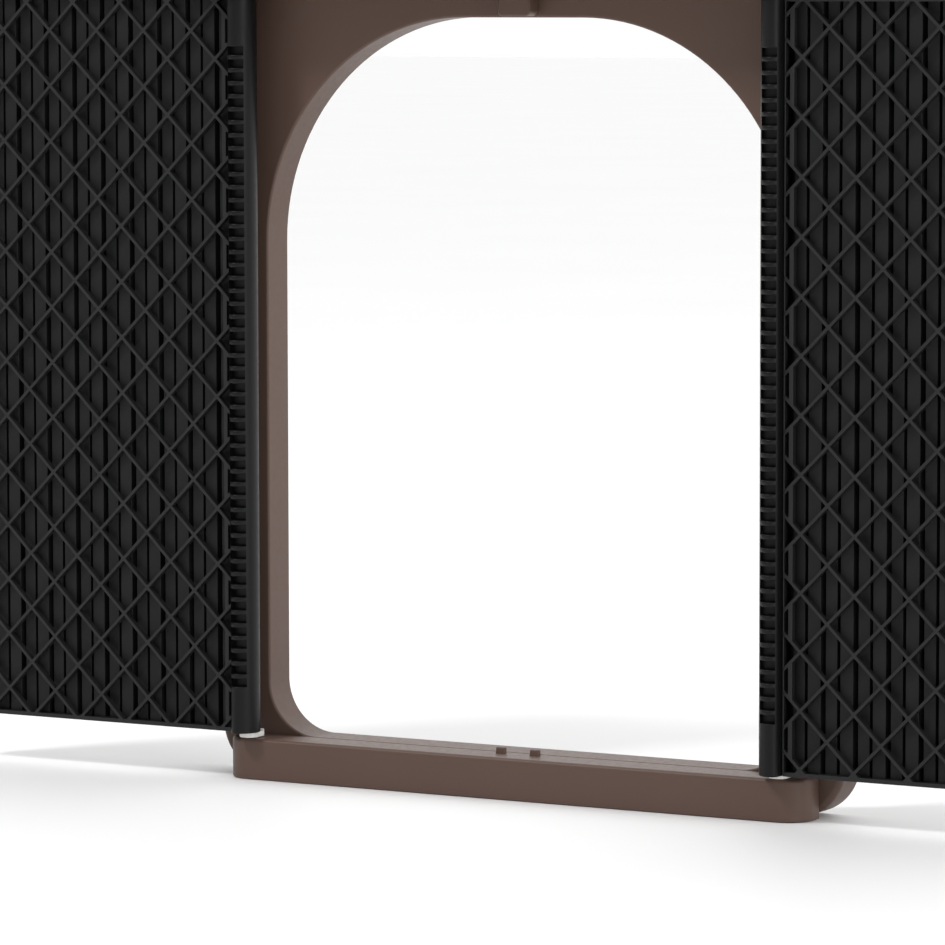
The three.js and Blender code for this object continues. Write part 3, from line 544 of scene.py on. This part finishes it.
def make_frame():
    half, back = FRAME["half"], FRAME["back"]
    outline = divided(clean(rounded_rect(-half, half, 0, FRAME["height"], FRAME["foot"], FRAME["top"])), 24)

    def front_edge(_, z):
        share = min(1, max(0, (TRAY["floor"] - 2 - z) / 8))
        return 0.5 + 2.3 * share

    body = slab("frame_body", outline, FRAME["front"], back, [arch(0)], low=front_edge, high=0.8,
                hole_low=1.1, hole_high=0.9, steps=6)
    side = half - POCKET["wall"]
    pockets = slab("pockets", rounded_rect(-side, side, POCKET["wall"], TRAY["floor"] - POCKET["wall"],
                                           FRAME["foot"] - POCKET["wall"], 1.5),
                   POCKET["front"], back + 5, low=CRISP, high=CRISP, steps=1)
    through = (0, 60)
    keep = [slab("keep_arch", arch(POCKET["wall"]), *through, low=CRISP, high=CRISP, steps=1)]
    z = POCKET["pitch"]
    while z < TRAY["floor"] - POCKET["wall"]:
        keep.append(block("keep_rib", -200, 200, *through, z, z + POCKET["rib"], CRISP))
        z += POCKET["pitch"]
    for step in (-2, -1, 0, 1, 2):
        x = step * POCKET["pitch"]
        keep.append(block("keep_rib", x - 1, x + 1, *through, -20, TRAY["floor"], CRISP))
    keep += [rod("keep_boss", place, POCKET["boss"], *through) for place in WALL_HOLES + SILL_SCREWS]
    cut(pockets, *keep)
    inside = half - 2.5
    cavity = slab("cavity", rounded_rect(-inside, inside, TRAY["inside"], TRAY["top"], 1, 9.5),
                  0, TRAY["back"], low=CRISP, high=CRISP, steps=1)
    cut(body, pockets, cavity)
    join(body, *[rod("post", place, 4, FRAME["front"] + 0.1, TRAY["back"] + 1) for place in POSTS])
    holes = [rod("hole", place, 2.5, *through) for place in WALL_HOLES]
    for place in SILL_SCREWS + COVER_SCREWS:
        holes.append(rod("hole", place, 1.9, *through))
        holes.append(rod("recess", place, 4, SCREW_SEAT - GAP, 60))
    holes.append(rod("inlet_hole", (INLET["y"], INLET["z"]), INLET["body"] + GAP, 150, 160, turn=along_x))
    cut(body, *holes)
    soften(body, 0.45)
    return done(body, ROOT_BODY, "brown_plastic", "frame")


def make_sill_rail():
    half, front, radius = RAIL["half"], RAIL["front"], RAIL["radius"]
    back = FRAME["front"] - GAP
    plan = (arc(half - radius, front + radius, radius, -90, 0, 20) + [(half, back), (-half, back)]
            + arc(-half + radius, front + radius, radius, 180, 270, 20))

    def top_edge(_, y):
        return 1.7 if y < back - 0.5 else 0.5

    rail = slab("sill_rail_body", divided(clean(plan), 40), 0, RAIL["height"], low=0.7, high=top_edge,
                turn=along_z, steps=6)
    root, crest = RAIL["height"] - 1.4, RAIL["height"] + LUG["height"]
    side = rounded([(LUG["front"], root), (LUG["back"], root), (LUG["back"], crest),
                    (LUG["front"] + 1, crest)], 0.7)
    lugs = []
    for x0, x1 in ((-LUG["outer"], -LUG["inner"]), (LUG["inner"], LUG["outer"])):
        lugs.append(slab("lug", side, x0, x1, turn=along_x, low=0.35, high=0.35))
    join(rail, *lugs)
    return done(rail, ROOT_BODY, "brown_plastic", "sill_rail")


def make_top_backstop():
    shape = rounded_rect(-8, 8, 340.4, 352.5, 2.5, 0.5, steps=6)
    piece = slab("top_backstop_body", shape, 12.4, FRAME["front"] - GAP, low=0.8, high=0.2, steps=4)
    return done(piece, ROOT_BODY, "brown_plastic", "top_backstop")


# ---------------------------------------------------------------------------------------------
# Leaves, drawn for the left one. The right one is the same moulding turned half round.
def turned(obj):
    """Turns a mesh half round about turn_z, as the right leaf's mouldings are."""
    middle = Matrix.Translation((0, 0, LEAF["turn_z"] * MM))
    obj.data.transform(middle @ Matrix.Rotation(math.pi, 4, "Y") @ middle.inverted())
    return obj


def clip(points, axis, value, keep_less):
    """The part of a convex polygon on one side of a line."""
    def inside(p):
        return p[axis] < value if keep_less else p[axis] > value

    kept = []
    for here, after in zip(points, points[1:] + points[:1]):
        if inside(here):
            kept.append(here)
        if inside(here) != inside(after):
            t = (value - here[axis]) / (after[axis] - here[axis])
            kept.append((here[0] + t * (after[0] - here[0]), here[1] + t * (after[1] - here[1])))
    return kept


def lattice_windows():
    """The diamonds between the ribs. The inner rim cuts the first column of them in two."""
    half, rim = LATTICE["half"], LATTICE["rim"]
    reach = half - LATTICE["rib"] * math.sqrt(0.5)
    near, far = LATTICE["inner"] + LATTICE["strip"], LEAF["outer"] - rim
    split_by_rim = [(near, LATTICE["inner_rim"][0]), (LATTICE["inner_rim"][1], far)]
    columns = math.ceil((LEAF["outer"] - LATTICE["column"]) / half) + 1
    rows = math.ceil((LEAF["top"] - LEAF["bottom"]) / half) + 1
    windows = []
    for k in range(-1, columns + 1):
        for m in range(-1, rows + 1):
            if (k + m) % 2 == 0:
                continue
            x = LATTICE["column"] + half * k
            z = LATTICE["first_row"] - half * m
            diamond = [(x - reach, z), (x, z - reach), (x + reach, z), (x, z + reach)]
            for low, high in split_by_rim if k == 0 else [(near, far)]:
                shape = clip(clip(diamond, 0, low, False), 0, high, True)
                shape = clip(clip(shape, 1, LEAF["bottom"] + rim, False), 1, LEAF["top"] - rim, True)
                if len(shape) > 2 and abs(area(shape)) > LATTICE["least"]:
                    windows.append([(-u, v) for u, v in rounded(clean(shape, 0.2), 0.4)])
    return windows


def make_lattice(side):
    outer = [(-LEAF["outer"], LEAF["bottom"]), (-LATTICE["inner"], LEAF["bottom"]),
             (-LATTICE["inner"], LEAF["top"]), (-LEAF["outer"], LEAF["top"])]
    return slab(f"{side}_lattice", rounded(outer, 0.6), 0, LATTICE["depth"], lattice_windows(),
                low=0.25, high=0.1, steps=3)


def make_skin(side):
    """Upright slats, every other one set back, with narrow grooves between and a wall round three sides."""
    floor, sheet, wall, back = SKIN["groove_floor"], SKIN["sheet"], SKIN["wall"], SKIN["back"]
    faces, rears = [], []
    shift = 0
    while SLATS[0]["first"] + shift < LEAF["outer"]:
        for slat in SLATS:
            start, front = slat["first"] + shift, slat["front"]
            end = start + slat["width"]
            if end < LEAF["outer"] - wall:
                faces += [(start, floor), (start, front), (end, front), (end, floor)]
                rears += [(start + sheet, back), (start + sheet, front + sheet), (end - sheet, front + sheet),
                          (end - sheet, back)]
        shift += SKIN["pitch"]
    near, far = LATTICE["inner"] + 0.05, LEAF["outer"] - wall
    profile = [(near, floor)] + faces + [(far, floor), (far, back)] + rears[::-1] + [(near, back)]
    plan = rounded([(-x, y) for x, y in profile], 0.3)
    lap = 0.5
    body = slab(f"{side}_skin", plan, LEAF["bottom"] + wall - lap, LEAF["top"] - wall + lap,
                low=CRISP, high=CRISP, turn=along_z, steps=1)
    low, high, outer = LEAF["bottom"], LEAF["top"], -LEAF["outer"]
    walls = [(-LATTICE["inner"], low), (-LATTICE["inner"], low + wall), (outer + wall, low + wall),
             (outer + wall, high - wall), (-LATTICE["inner"], high - wall), (-LATTICE["inner"], high),
             (outer, high), (outer, low)]
    return merge(body, slab("walls", walls, SKIN["wall_front"], back + 0.1, low=0.25, high=0.4, steps=2))


def edge_profile():
    """The closing edge's outline in X and Y, in three runs. The middle one is where the slots are."""
    axis, depth, radius, corner = -EDGE["axis"], EDGE["depth"], EDGE["radius"], EDGE["corner"]
    meet = math.radians(EDGE["meet"])
    across = axis + (radius - corner) * math.sin(meet)
    along = depth - (radius - corner) * math.cos(meet)
    meeting = 270 + EDGE["meet"]
    slot_end = 360 + SLOTS["nose_angle"]
    apart = 0.3
    back_round = 0.8
    before = arc(across, along, corner, 180, SLOTS["corner_angle"] - apart, 8)
    slotted = (arc(across, along, corner, SLOTS["corner_angle"], meeting, 12)[:-1]
               + arc(axis, depth, radius, meeting, slot_end, 10))
    after = (arc(axis, depth, radius, slot_end + apart, 450, 28)
             + arc(-EDGE["flat"] + back_round, depth + radius - back_round, back_round, 90, 180, 4))
    return before, slotted, after


def make_closing_edge(side):
    """Rounded nose with a ladder of slots across its front. The fins between them have soft edges."""
    before, slotted, after = edge_profile()
    first, last = len(before), len(before) + len(slotted)
    plain = before + slotted + after
    floored = before + [(x, SLOTS["floor"]) for x, _ in slotted] + after
    soft = SLOTS["soft"]
    pitch = (SLOTS["high"] - SLOTS["low"] + SLOTS["fin"]) / SLOTS["count"]

    def eased(inset):
        return offset(plain, [-inset if first < i < last - 1 else 0 for i in range(len(plain))])

    def ring(points, z):
        return [(x, y, z) for x, y in points]

    def shrunk(inset):
        return offset(plain, [-inset] * len(plain))

    rounding = [(soft * (1 - math.cos(a)), soft * (1 - math.sin(a))) for a in (0, 0.55, 1.05, math.pi / 2)]
    rings = [ring(shrunk(0.5), LEAF["bottom"]), ring(shrunk(0.15), LEAF["bottom"] + 0.15),
             ring(plain, LEAF["bottom"] + 0.5)]
    for i in range(SLOTS["count"]):
        z0 = SLOTS["low"] + i * pitch
        z1 = z0 + pitch - SLOTS["fin"]
        rings += [ring(eased(inset), z0 - rise) for inset, rise in rounding]
        rings += [ring(floored, z0 + 0.02), ring(floored, z1 - 0.02)]
        rings += [ring(eased(inset), z1 + rise) for inset, rise in rounding[::-1]]
    rings += [ring(plain, LEAF["top"] - 0.5), ring(shrunk(0.15), LEAF["top"] - 0.15),
              ring(shrunk(0.5), LEAF["top"])]
    return stack(f"{side}_closing_edge", rings)


def leaf_ends(side):
    """Heights of a leaf's bottom and top."""
    if side == "left":
        return LEAF["bottom"], LEAF["top"]
    return 2 * LEAF["turn_z"] - LEAF["top"], 2 * LEAF["turn_z"] - LEAF["bottom"]


def make_shoe(side):
    """Nylon slider under the closing edge, with a lip behind it."""
    sign = -1 if side == "left" else 1
    left, right = sorted((sign * SHOE["inner"], sign * SHOE["outer"]))
    plan = rounded_rect(left, right, SHOE["front"], SHOE["back"], SHOE["round"], 1, steps=10)
    shoe = slab(f"{side}_shoe", plan, RAIL["height"] + GAP, SHOE["height"], low=0.4, high=0.4, turn=along_z)
    room = block("room", left - 1, right + 1, SHOE["front"] - 1, SHOE["step"],
                 leaf_ends(side)[0] - GAP, SHOE["height"] + 1, CRISP)
    return cut(shoe, room)


def make_leaf(side):
    body = f"{side}_leaf"
    # The lattice and the closing edge take lighter and darker copies of the black plastic: a painted
    # highlight on the ribs and painted shade on the noses.
    pieces = [(make_lattice(side), "leaf_lattice", "lattice", None),
              (make_skin(side), "leaf_skin", None, None),
              (make_closing_edge(side), "leaf_closing_edge", "closing_edge", 35)]
    for obj, node, look, sharp in pieces:
        if side == "right":
            turned(obj)
        done(obj, body, "black_plastic", f"{side}_{node}", look=look, sharp=sharp)
    done(make_shoe(side), body, "white_nylon", f"{side}_glide_shoe")


def make_hanger(side):
    """Steel strip on top of the leaf, with an upright for the rack and the screw that holds it."""
    sign = -1 if side == "left" else 1
    screw_z = HANGER["screw_z"][side]
    low = leaf_ends(side)[1] + GAP
    foot_ends = sorted((sign * HANGER["inner"], sign * HANGER["foot_outer"]))
    web_ends = sorted((sign * HANGER["inner"], sign * HANGER["outer"]))
    foot = block("foot", *foot_ends, HANGER["foot_front"], HANGER["foot_back"],
                 low, low + HANGER["thick"], 0.35)
    web = slab(f"{side}_hanger_body",
               rounded_rect(*web_ends, low + HANGER["thick"] - 1, screw_z + 3.5, 0.2, 2.5, steps=6),
               HANGER["front"], HANGER["back"], low=0.3, high=0.3)
    join(web, foot)
    middle = sign * (HANGER["inner"] + HANGER["outer"]) / 2
    cut(web, rod("hole", (middle, screw_z), 1.8, 0, 6))
    done(web, f"{side}_leaf", "steel", f"{side}_hanger")
    head_back = HANGER["front"] - 0.2
    profile = [(0, head_back - 1.8), (1.6, head_back - 1.8), (2.6, head_back - 1.3), (3, head_back - 0.5),
               (3, head_back), (1.2, head_back), (1.2, head_back + 5.9), (0.7, head_back + 6.5),
               (0, head_back + 6.5)]
    screw = lathe(f"{side}_hanger_screw_body", profile, (middle, screw_z))
    cut(screw, *cross_recess(middle, screw_z, head_back - 2, head_back - 0.9, 1.7))
    done(screw, f"{side}_leaf", "steel", f"{side}_hanger_screw")


# ---------------------------------------------------------------------------------------------
# Fixings.
def cross_recess(x, z, y0, y1, reach):
    """Two crossing blades that cut a driver recess."""
    half = 0.4
    return [block("blade", x - reach, x + reach, y0, y1, z - half, z + half, 0.05),
            block("blade", x - half, x + half, y0, y1, z - reach, z + reach, 0.05)]


def make_rear_screw(node, x, z, length):
    """Pan-head screw driven in from the back."""
    seat = SCREW_SEAT
    profile = [(0, seat - length), (0.6, seat - length), (1.5, seat - length + 1.5), (1.5, seat), (3.5, seat),
               (3.5, seat + 0.8), (3.1, seat + 1.6), (2.2, seat + 2.1), (1.2, seat + 2.2), (0, seat + 2.2)]
    screw = lathe(f"{node}_body", profile, (x, z))
    cut(screw, *cross_recess(x, z, seat + 1, seat + 3, 2.1))
    done(screw, ROOT_BODY, "steel", node)


def make_rear_screws():
    for i, (x, z) in enumerate(COVER_SCREWS, 1):
        make_rear_screw(f"cover_screw_{i}", x, z, COVER_SCREW_LENGTH)
    for i, (x, z) in enumerate(SILL_SCREWS, 1):
        make_rear_screw(f"sill_screw_{i}", x, z, SILL_SCREW_LENGTH)


# ---------------------------------------------------------------------------------------------
# Housing over the drive, and the controls on it.
def make_cover():
    """Shell with a rounded front, a shallow panel round the controls and two lugs for the battery cover."""
    half, front, bottom, wall = FRAME["half"], COVER["front"], COVER["bottom"], COVER["wall"]
    back = FRAME["front"] - GAP

    def front_round(_, z):
        share = min(1, max(0, (z - bottom - 2) / 14))
        return 1.4 + 2.8 * share

    outline = divided(clean(rounded_rect(-half, half, bottom, FRAME["height"], 2, FRAME["top"])), 24)
    shell = slab("housing_cover_body", outline, front, back, low=front_round, high=0.4, steps=8)
    inside = slab("inside", rounded_rect(-half + wall, half - wall, bottom + wall, TRAY["top"], 1, 9.5),
                  front + wall, back + 5, low=0.8, high=CRISP)
    slot = block("slot", -half + wall, half - wall, COVER["lip_back"], back + 5,
                 bottom - 2, bottom + wall + 1, 0.2)
    cut(shell, inside, slot)
    join(shell, *[rod("boss", place, 4, front + 1, 19.5) for place in COVER_SCREWS])
    for x0, x1 in FLAP["lugs"]:
        lug = rod("lug", (FLAP["front"], FLAP["hinge_z"]), FLAP["knuckle"], x0, x1, turn=along_x, edge=0.3)
        root = block("root", x0 + 0.05, x1 - 0.05, FLAP["front"], front + 1, FLAP["hinge_z"] - 1.95,
                     FLAP["hinge_z"] + 1.95, 0.25)
        join(shell, lug, root)
    through = (front - 1, front + wall + 1)
    openings = [rod("bore", place, 1.8, 10, 30) for place in COVER_SCREWS]
    openings += [rod("button_hole", (x, PANEL_Z), BUTTON["hole"], *through, steps=48)
                 for x in BUTTONS.values()]
    openings += [rod("sensor_hole", (SENSOR_X, PANEL_Z), 4.3, *through, steps=48),
                 rod("status_hole", (STATUS_X, PANEL_Z), 2.3, *through)]
    window_u = (DISPLAY["x"] - DISPLAY["half_width"] - GAP, DISPLAY["x"] + DISPLAY["half_width"] + GAP)
    window_v = (PANEL_Z - DISPLAY["half_height"] - GAP, PANEL_Z + DISPLAY["half_height"] + GAP)
    openings.append(slab("window_hole", rounded_rect(*window_u, *window_v, 2), *through,
                         low=CRISP, high=CRISP, steps=1))
    openings.append(block("hatch", FLAP["left"] + 2, FLAP["right"] - 2, *through, FLAP["bottom"] + 2,
                          FLAP["top"] - 2, 1.2))
    openings.append(slab("panel", rounded_rect(PANEL["x0"], PANEL["x1"], PANEL["z0"], PANEL["z1"], 4),
                         front - 2, front + PANEL["depth"], low=CRISP, high=0.15, steps=2))
    openings += [rod("pin_bore", (FLAP["front"], FLAP["hinge_z"]), FLAP["bore"], x0 - 1, x1 + 1, turn=along_x)
                 for x0, x1 in FLAP["lugs"]]
    cut(shell, *openings)
    soften(shell, 0.3, 55)
    return done(shell, ROOT_BODY, "brown_plastic", "housing_cover")


def make_battery_cover():
    """Hinged door with a finger grip along its top."""
    front, hinge = FLAP["front"], (FLAP["front"], FLAP["hinge_z"])
    door = slab("battery_cover_body",
                rounded_rect(FLAP["left"], FLAP["right"], FLAP["bottom"], FLAP["top"], 2, 4, steps=10),
                front, FLAP["back"], low=0.9, high=0.25, steps=5)
    barrel = rod("barrel", hinge, FLAP["knuckle"], *FLAP["barrel"], turn=along_x, edge=0.3)
    neck = block("neck", *FLAP["neck"], front + 0.05, FLAP["back"] - 0.05,
                 FLAP["hinge_z"], FLAP["bottom"] + 1.5, 0.2)
    grip = block("grip", *FLAP["grip"], front - 1.6, front + 0.5, FLAP["top"] - 3.5, FLAP["top"] - 1.5, 0.45)
    join(door, barrel, neck, grip)
    tools = [rod("bore", hinge, FLAP["bore"], 70, 134, turn=along_x)]
    for i in range(GROOVES["count"]):
        z = FLAP["bottom"] + GROOVES["first"] + GROOVES["pitch"] * i
        tools.append(block("groove", GROOVES["left"], GROOVES["right"], front - 1, front + GROOVES["depth"],
                           z, z + GROOVES["height"], 0.3))
    cut(door, *tools)
    done(door, "battery_flap", "brown_plastic", "battery_cover")
    pin = rod("battery_cover_pin_body", hinge, 1, *FLAP["pin"], turn=along_x, edge=0.3)
    done(pin, ROOT_BODY, "steel", "battery_cover_pin")


def arrow(x, tip, base, half):
    """A triangle that points up or down, as a tool to engrave a button with."""
    outline = [(x - half, base), (x + half, base), (x, tip)]
    return slab("arrow", outline if tip > base else outline[::-1], MARK_FRONT, MARK_FLOOR,
                low=CRISP, high=CRISP, steps=1)


def button_marks(task, x):
    """The two arrows apart for open, the two arrows together for close, and three bars for the menu."""
    z = PANEL_Z
    if task == "menu":
        return [block("bar", x - 2, x + 2, MARK_FRONT, MARK_FLOOR, z + dz - 0.35, z + dz + 0.35, 0.02)
                for dz in (-1.4, 0, 1.4)]
    reach = 2.6 if task == "open" else 0.5
    base = 0.5 if task == "open" else 2.6
    return [arrow(x, z + reach, z + base, 1.9), arrow(x, z - reach, z - base, 1.9)]


def make_buttons():
    for task, x in BUTTONS.items():
        radius, front = BUTTON["radius"], BUTTON["front"]
        profile = [(0, front + 0.1), (3.2, front + 0.04), (3.9, front), (4.35, front + 0.12),
                   (radius, front + 0.6), (radius, BUTTON["rim"]), (BUTTON["flange"], BUTTON["rim"]),
                   (BUTTON["flange"], BUTTON["rear"]), (2, BUTTON["rear"]), (2, BUTTON["stem"] - 0.2),
                   (1.8, BUTTON["stem"]), (0, BUTTON["stem"])]
        cap = lathe(f"{task}_button_body", profile, (x, PANEL_Z), steps=64)
        cut(cap, *button_marks(task, x))
        done(cap, f"{task}_push", "black_plastic", f"{task}_button")


SEGMENTS = {"0": "abcdef", "3": "abgcd", "7": "abc"}


def digit_bars(figure, x, z):
    """The lit bars of one seven-segment figure, 7 mm high, with its middle at x and z."""
    half_w, half_h, thick = 1.9, 3.5, 0.38
    flat = {"a": half_h, "g": 0, "d": -half_h}
    upright = {"b": (half_w, 1), "c": (half_w, -1), "e": (-half_w, -1), "f": (-half_w, 1)}
    bars = []
    for name in SEGMENTS[figure]:
        if name in flat:
            middle = z + flat[name]
            bars.append((x - half_w + 0.4, x + half_w - 0.4, middle - thick, middle + thick))
        else:
            dx, way = upright[name]
            ends = sorted((z + way * 0.35, z + way * (half_h - 0.35)))
            bars.append((x + dx - thick, x + dx + thick, *ends))
    return bars


def make_display():
    """Smoked window with a lit clock behind its face."""
    x, front = DISPLAY["x"], DISPLAY["front"]
    window = slab("display_window_body",
                  rounded_rect(x - DISPLAY["half_width"], x + DISPLAY["half_width"],
                               PANEL_Z - DISPLAY["half_height"], PANEL_Z + DISPLAY["half_height"], 1.7),
                  front, DISPLAY["back"], low=0.25, high=0.1)
    done(window, ROOT_BODY, "dark_lens", "display_window")
    bars = []
    for figure, dx in zip("0730", (-13.5, -6, 6, 13.5)):
        bars += digit_bars(figure, x + dx, PANEL_Z)
    bars += [(x - 0.5, x + 0.5, PANEL_Z + dz - 0.5, PANEL_Z + dz + 0.5) for dz in (-1.6, 1.6)]
    pieces = [block("bar", x0, x1, front - 0.06, front + 0.3, z0, z1, 0.04) for x0, x1, z0, z1 in bars]
    digits = pieces[0]
    digits.name = "display_digits"
    join(digits, *pieces[1:])
    done(digits, ROOT_BODY, "status_lens")


def make_lenses():
    """Light sensor and status light, each a low dome."""
    for name, x, radius, rise, node, slot in (
            ("light_sensor_body", SENSOR_X, 4, 1.6, "light_sensor_lens", "dark_lens"),
            ("status_light_body", STATUS_X, 2, 1, "status_light", "status_lens")):
        front = COVER["front"]
        dome = [(radius * math.sin(a), front - rise * math.cos(a))
                for a in (math.pi / 2 * i / 12 for i in range(13))]
        rear = [(radius, front + 2.8), (radius - 0.2, front + 3), (0, front + 3)]
        lens = lathe(name, dome + rear, (x, PANEL_Z))
        done(lens, ROOT_BODY, slot, node)


def make_power_parts():
    """Inlet with its rubber plug, the battery tray and the four cells."""
    side, centre = INLET["side"], (INLET["y"], INLET["z"])
    socket = [(0, side - 12), (INLET["body"] - 0.4, side - 12), (INLET["body"], side - 11.6),
              (INLET["body"], side + GAP), (INLET["flange"], side + GAP), (INLET["flange"], side + 1.3),
              (INLET["flange"] - 0.5, side + 1.8), (INLET["bore"] + 0.4, side + 1.8),
              (INLET["bore"], side + 1.4), (INLET["bore"], side - 8), (0, side - 8)]
    inlet = lathe("dc_inlet_body", socket, centre, turn=along_x, steps=64)
    done(inlet, ROOT_BODY, "black_plastic", "dc_inlet")
    stem = INLET["bore"] - 0.4
    plug = [(0, side - 6), (stem - 0.5, side - 6), (stem, side - 5.5), (stem, side + 2.1), (5.7, side + 2.1),
            (6, side + 2.4), (6, side + 3.4), (5.3, side + 4.1), (3.4, side + 4.1), (3, side + 3.7),
            (0, side + 3.6)]
    stopper = lathe("inlet_plug_body", plug, centre, turn=along_x, steps=64)
    done(stopper, "plug", "rubber", "inlet_plug")
    box, wall = TRAY_BOX, TRAY_BOX["wall"]
    tray = block("battery_tray_body", box["left"], box["right"], box["front"], box["back"],
                 box["bottom"], box["top"], 0.5)
    cut(tray, block("room", box["left"] + wall, box["right"] - wall, box["front"] - 5, box["back"] - wall,
                    box["bottom"] + wall, box["top"] - wall, 0.4))
    done(tray, ROOT_BODY, "black_plastic", "battery_tray")
    radius, left, end, tip = CELL["radius"], CELL["left"], CELL["end"], CELL["tip"]
    cell = [(0, left), (radius - 0.4, left), (radius, left + 0.4), (radius, end - 0.5), (radius - 0.5, end),
            (CELL["tip_radius"], end), (CELL["tip_radius"], tip - 0.3), (CELL["tip_radius"] - 0.3, tip),
            (0, tip)]
    places = [(y, z) for y in CELL["ys"] for z in CELL["zs"]]
    for i, place in enumerate(places, 1):
        wrapped = lathe(f"battery_cell_{i}_body", cell, place, turn=along_x)
        done(wrapped, ROOT_BODY, "cell_wrap", f"battery_cell_{i}")


# ---------------------------------------------------------------------------------------------
# What the CAD shapes show well enough gets its finish here.
def finish_cad_nodes():
    slots = {row["node"]: row["material_slot"] for row in frame["record"]["subparts"]}
    for name, obj in frame["nodes"].items():
        obj.data.materials.clear()
        obj.data.materials.append(FINISHES[slots[name]])
        for polygon in obj.data.polygons:
            polygon.material_index = 0
            polygon.use_smooth = True
        split = obj.modifiers.new("sharp_edges", "EDGE_SPLIT")
        split.split_angle = math.radians(35)


# ---------------------------------------------------------------------------------------------
# Studio.
def make_floor():
    bpy.ops.mesh.primitive_plane_add(size=40, location=(0, 0, -0.0002))
    floor = bpy.context.object
    floor.name = "floor"
    finish = Finish("floor")
    cloudy = finish.noise(3, 2)
    finish.put("Base Color", finish.colours(cloudy, [(0.3, srgb(250, 250, 250)), (0.7, srgb(252, 252, 252))]))
    finish.put("Roughness", 0.6)
    finish.put("Specular IOR Level", 0.2)
    floor.data.materials.append(finish.material)


def area_light(name, place, aim, size, power):
    data = bpy.data.lights.new(name, "AREA")
    data.shape = "RECTANGLE"
    data.size, data.size_y = size
    data.energy = power
    obj = bpy.data.objects.new(name, data)
    bpy.context.scene.collection.objects.link(obj)
    obj.location = place
    obj.rotation_euler = (Vector(aim) - Vector(place)).to_track_quat("-Z", "Y").to_euler()
    return obj


def make_studio():
    """White surround, brightest behind the door and to its right, with a key light from the upper left and a
    softer one from the right."""
    world = bpy.data.worlds.new("studio")
    bpy.context.scene.world = world
    world.use_nodes = True
    nodes, links = world.node_tree.nodes, world.node_tree.links
    back = nodes["Background"]
    coord = nodes.new("ShaderNodeTexCoord")
    towards = nodes.new("ShaderNodeVectorMath")
    towards.operation = "DOT_PRODUCT"
    towards.inputs[1].default_value = (0.45, 0.75, 0.3)
    links.new(coord.outputs["Generated"], towards.inputs[0])
    strength = nodes.new("ShaderNodeMapRange")
    strength.inputs["From Min"].default_value = -0.6
    strength.inputs["From Max"].default_value = 0.6
    strength.inputs["To Min"].default_value = 0.15
    strength.inputs["To Max"].default_value = 1.4
    links.new(towards.outputs["Value"], strength.inputs["Value"])
    seen = nodes.new("ShaderNodeLightPath")
    mix = nodes.new("ShaderNodeMix")
    links.new(seen.outputs["Is Camera Ray"], mix.inputs["Factor"])
    links.new(strength.outputs["Result"], mix.inputs["A"])
    mix.inputs["B"].default_value = 1.0
    links.new(mix.outputs["Result"], back.inputs["Strength"])
    back.inputs["Color"].default_value = (1, 1, 1, 1)
    area_light("key", (-1.3, -1.7, 2.5), (0, 0, 0.2), (0.6, 0.6), 41)
    area_light("side", (2.7, -1.4, 0.5), (0, 0, 0.15), (0.7, 1.4), 11)


def make_camera():
    """The view: from the door's right, a little above it, through a long lens."""
    forward = Vector((-0.48431, 0.87015, -0.09103)).normalized()
    right = forward.cross(Vector((0, 0, 1))).normalized()
    up = right.cross(forward)
    roll = math.radians(-0.105)
    across = math.cos(roll) * right + math.sin(roll) * up
    above = -math.sin(roll) * right + math.cos(roll) * up
    turn = Matrix((across, above, -forward)).transposed()
    data = bpy.data.cameras.new("camera")
    data.lens = 205.0
    data.sensor_width = 36
    data.clip_start, data.clip_end = 0.05, 100
    camera = bpy.data.objects.new("camera", data)
    bpy.context.scene.collection.objects.link(camera)
    camera.matrix_world = Matrix.Translation((1.11810, -2.04402, 0.35577)) @ turn.to_4x4()
    bpy.context.scene.camera = camera
    bpy.context.scene.view_settings.view_transform = "Standard"


make_camera()
make_studio()
make_floor()
finish_cad_nodes()
make_frame()
make_sill_rail()
make_top_backstop()
for leaf_side in ("left", "right"):
    make_leaf(leaf_side)
    make_hanger(leaf_side)
make_rear_screws()
make_cover()
make_battery_cover()
make_buttons()
make_display()
make_lenses()
make_power_parts()
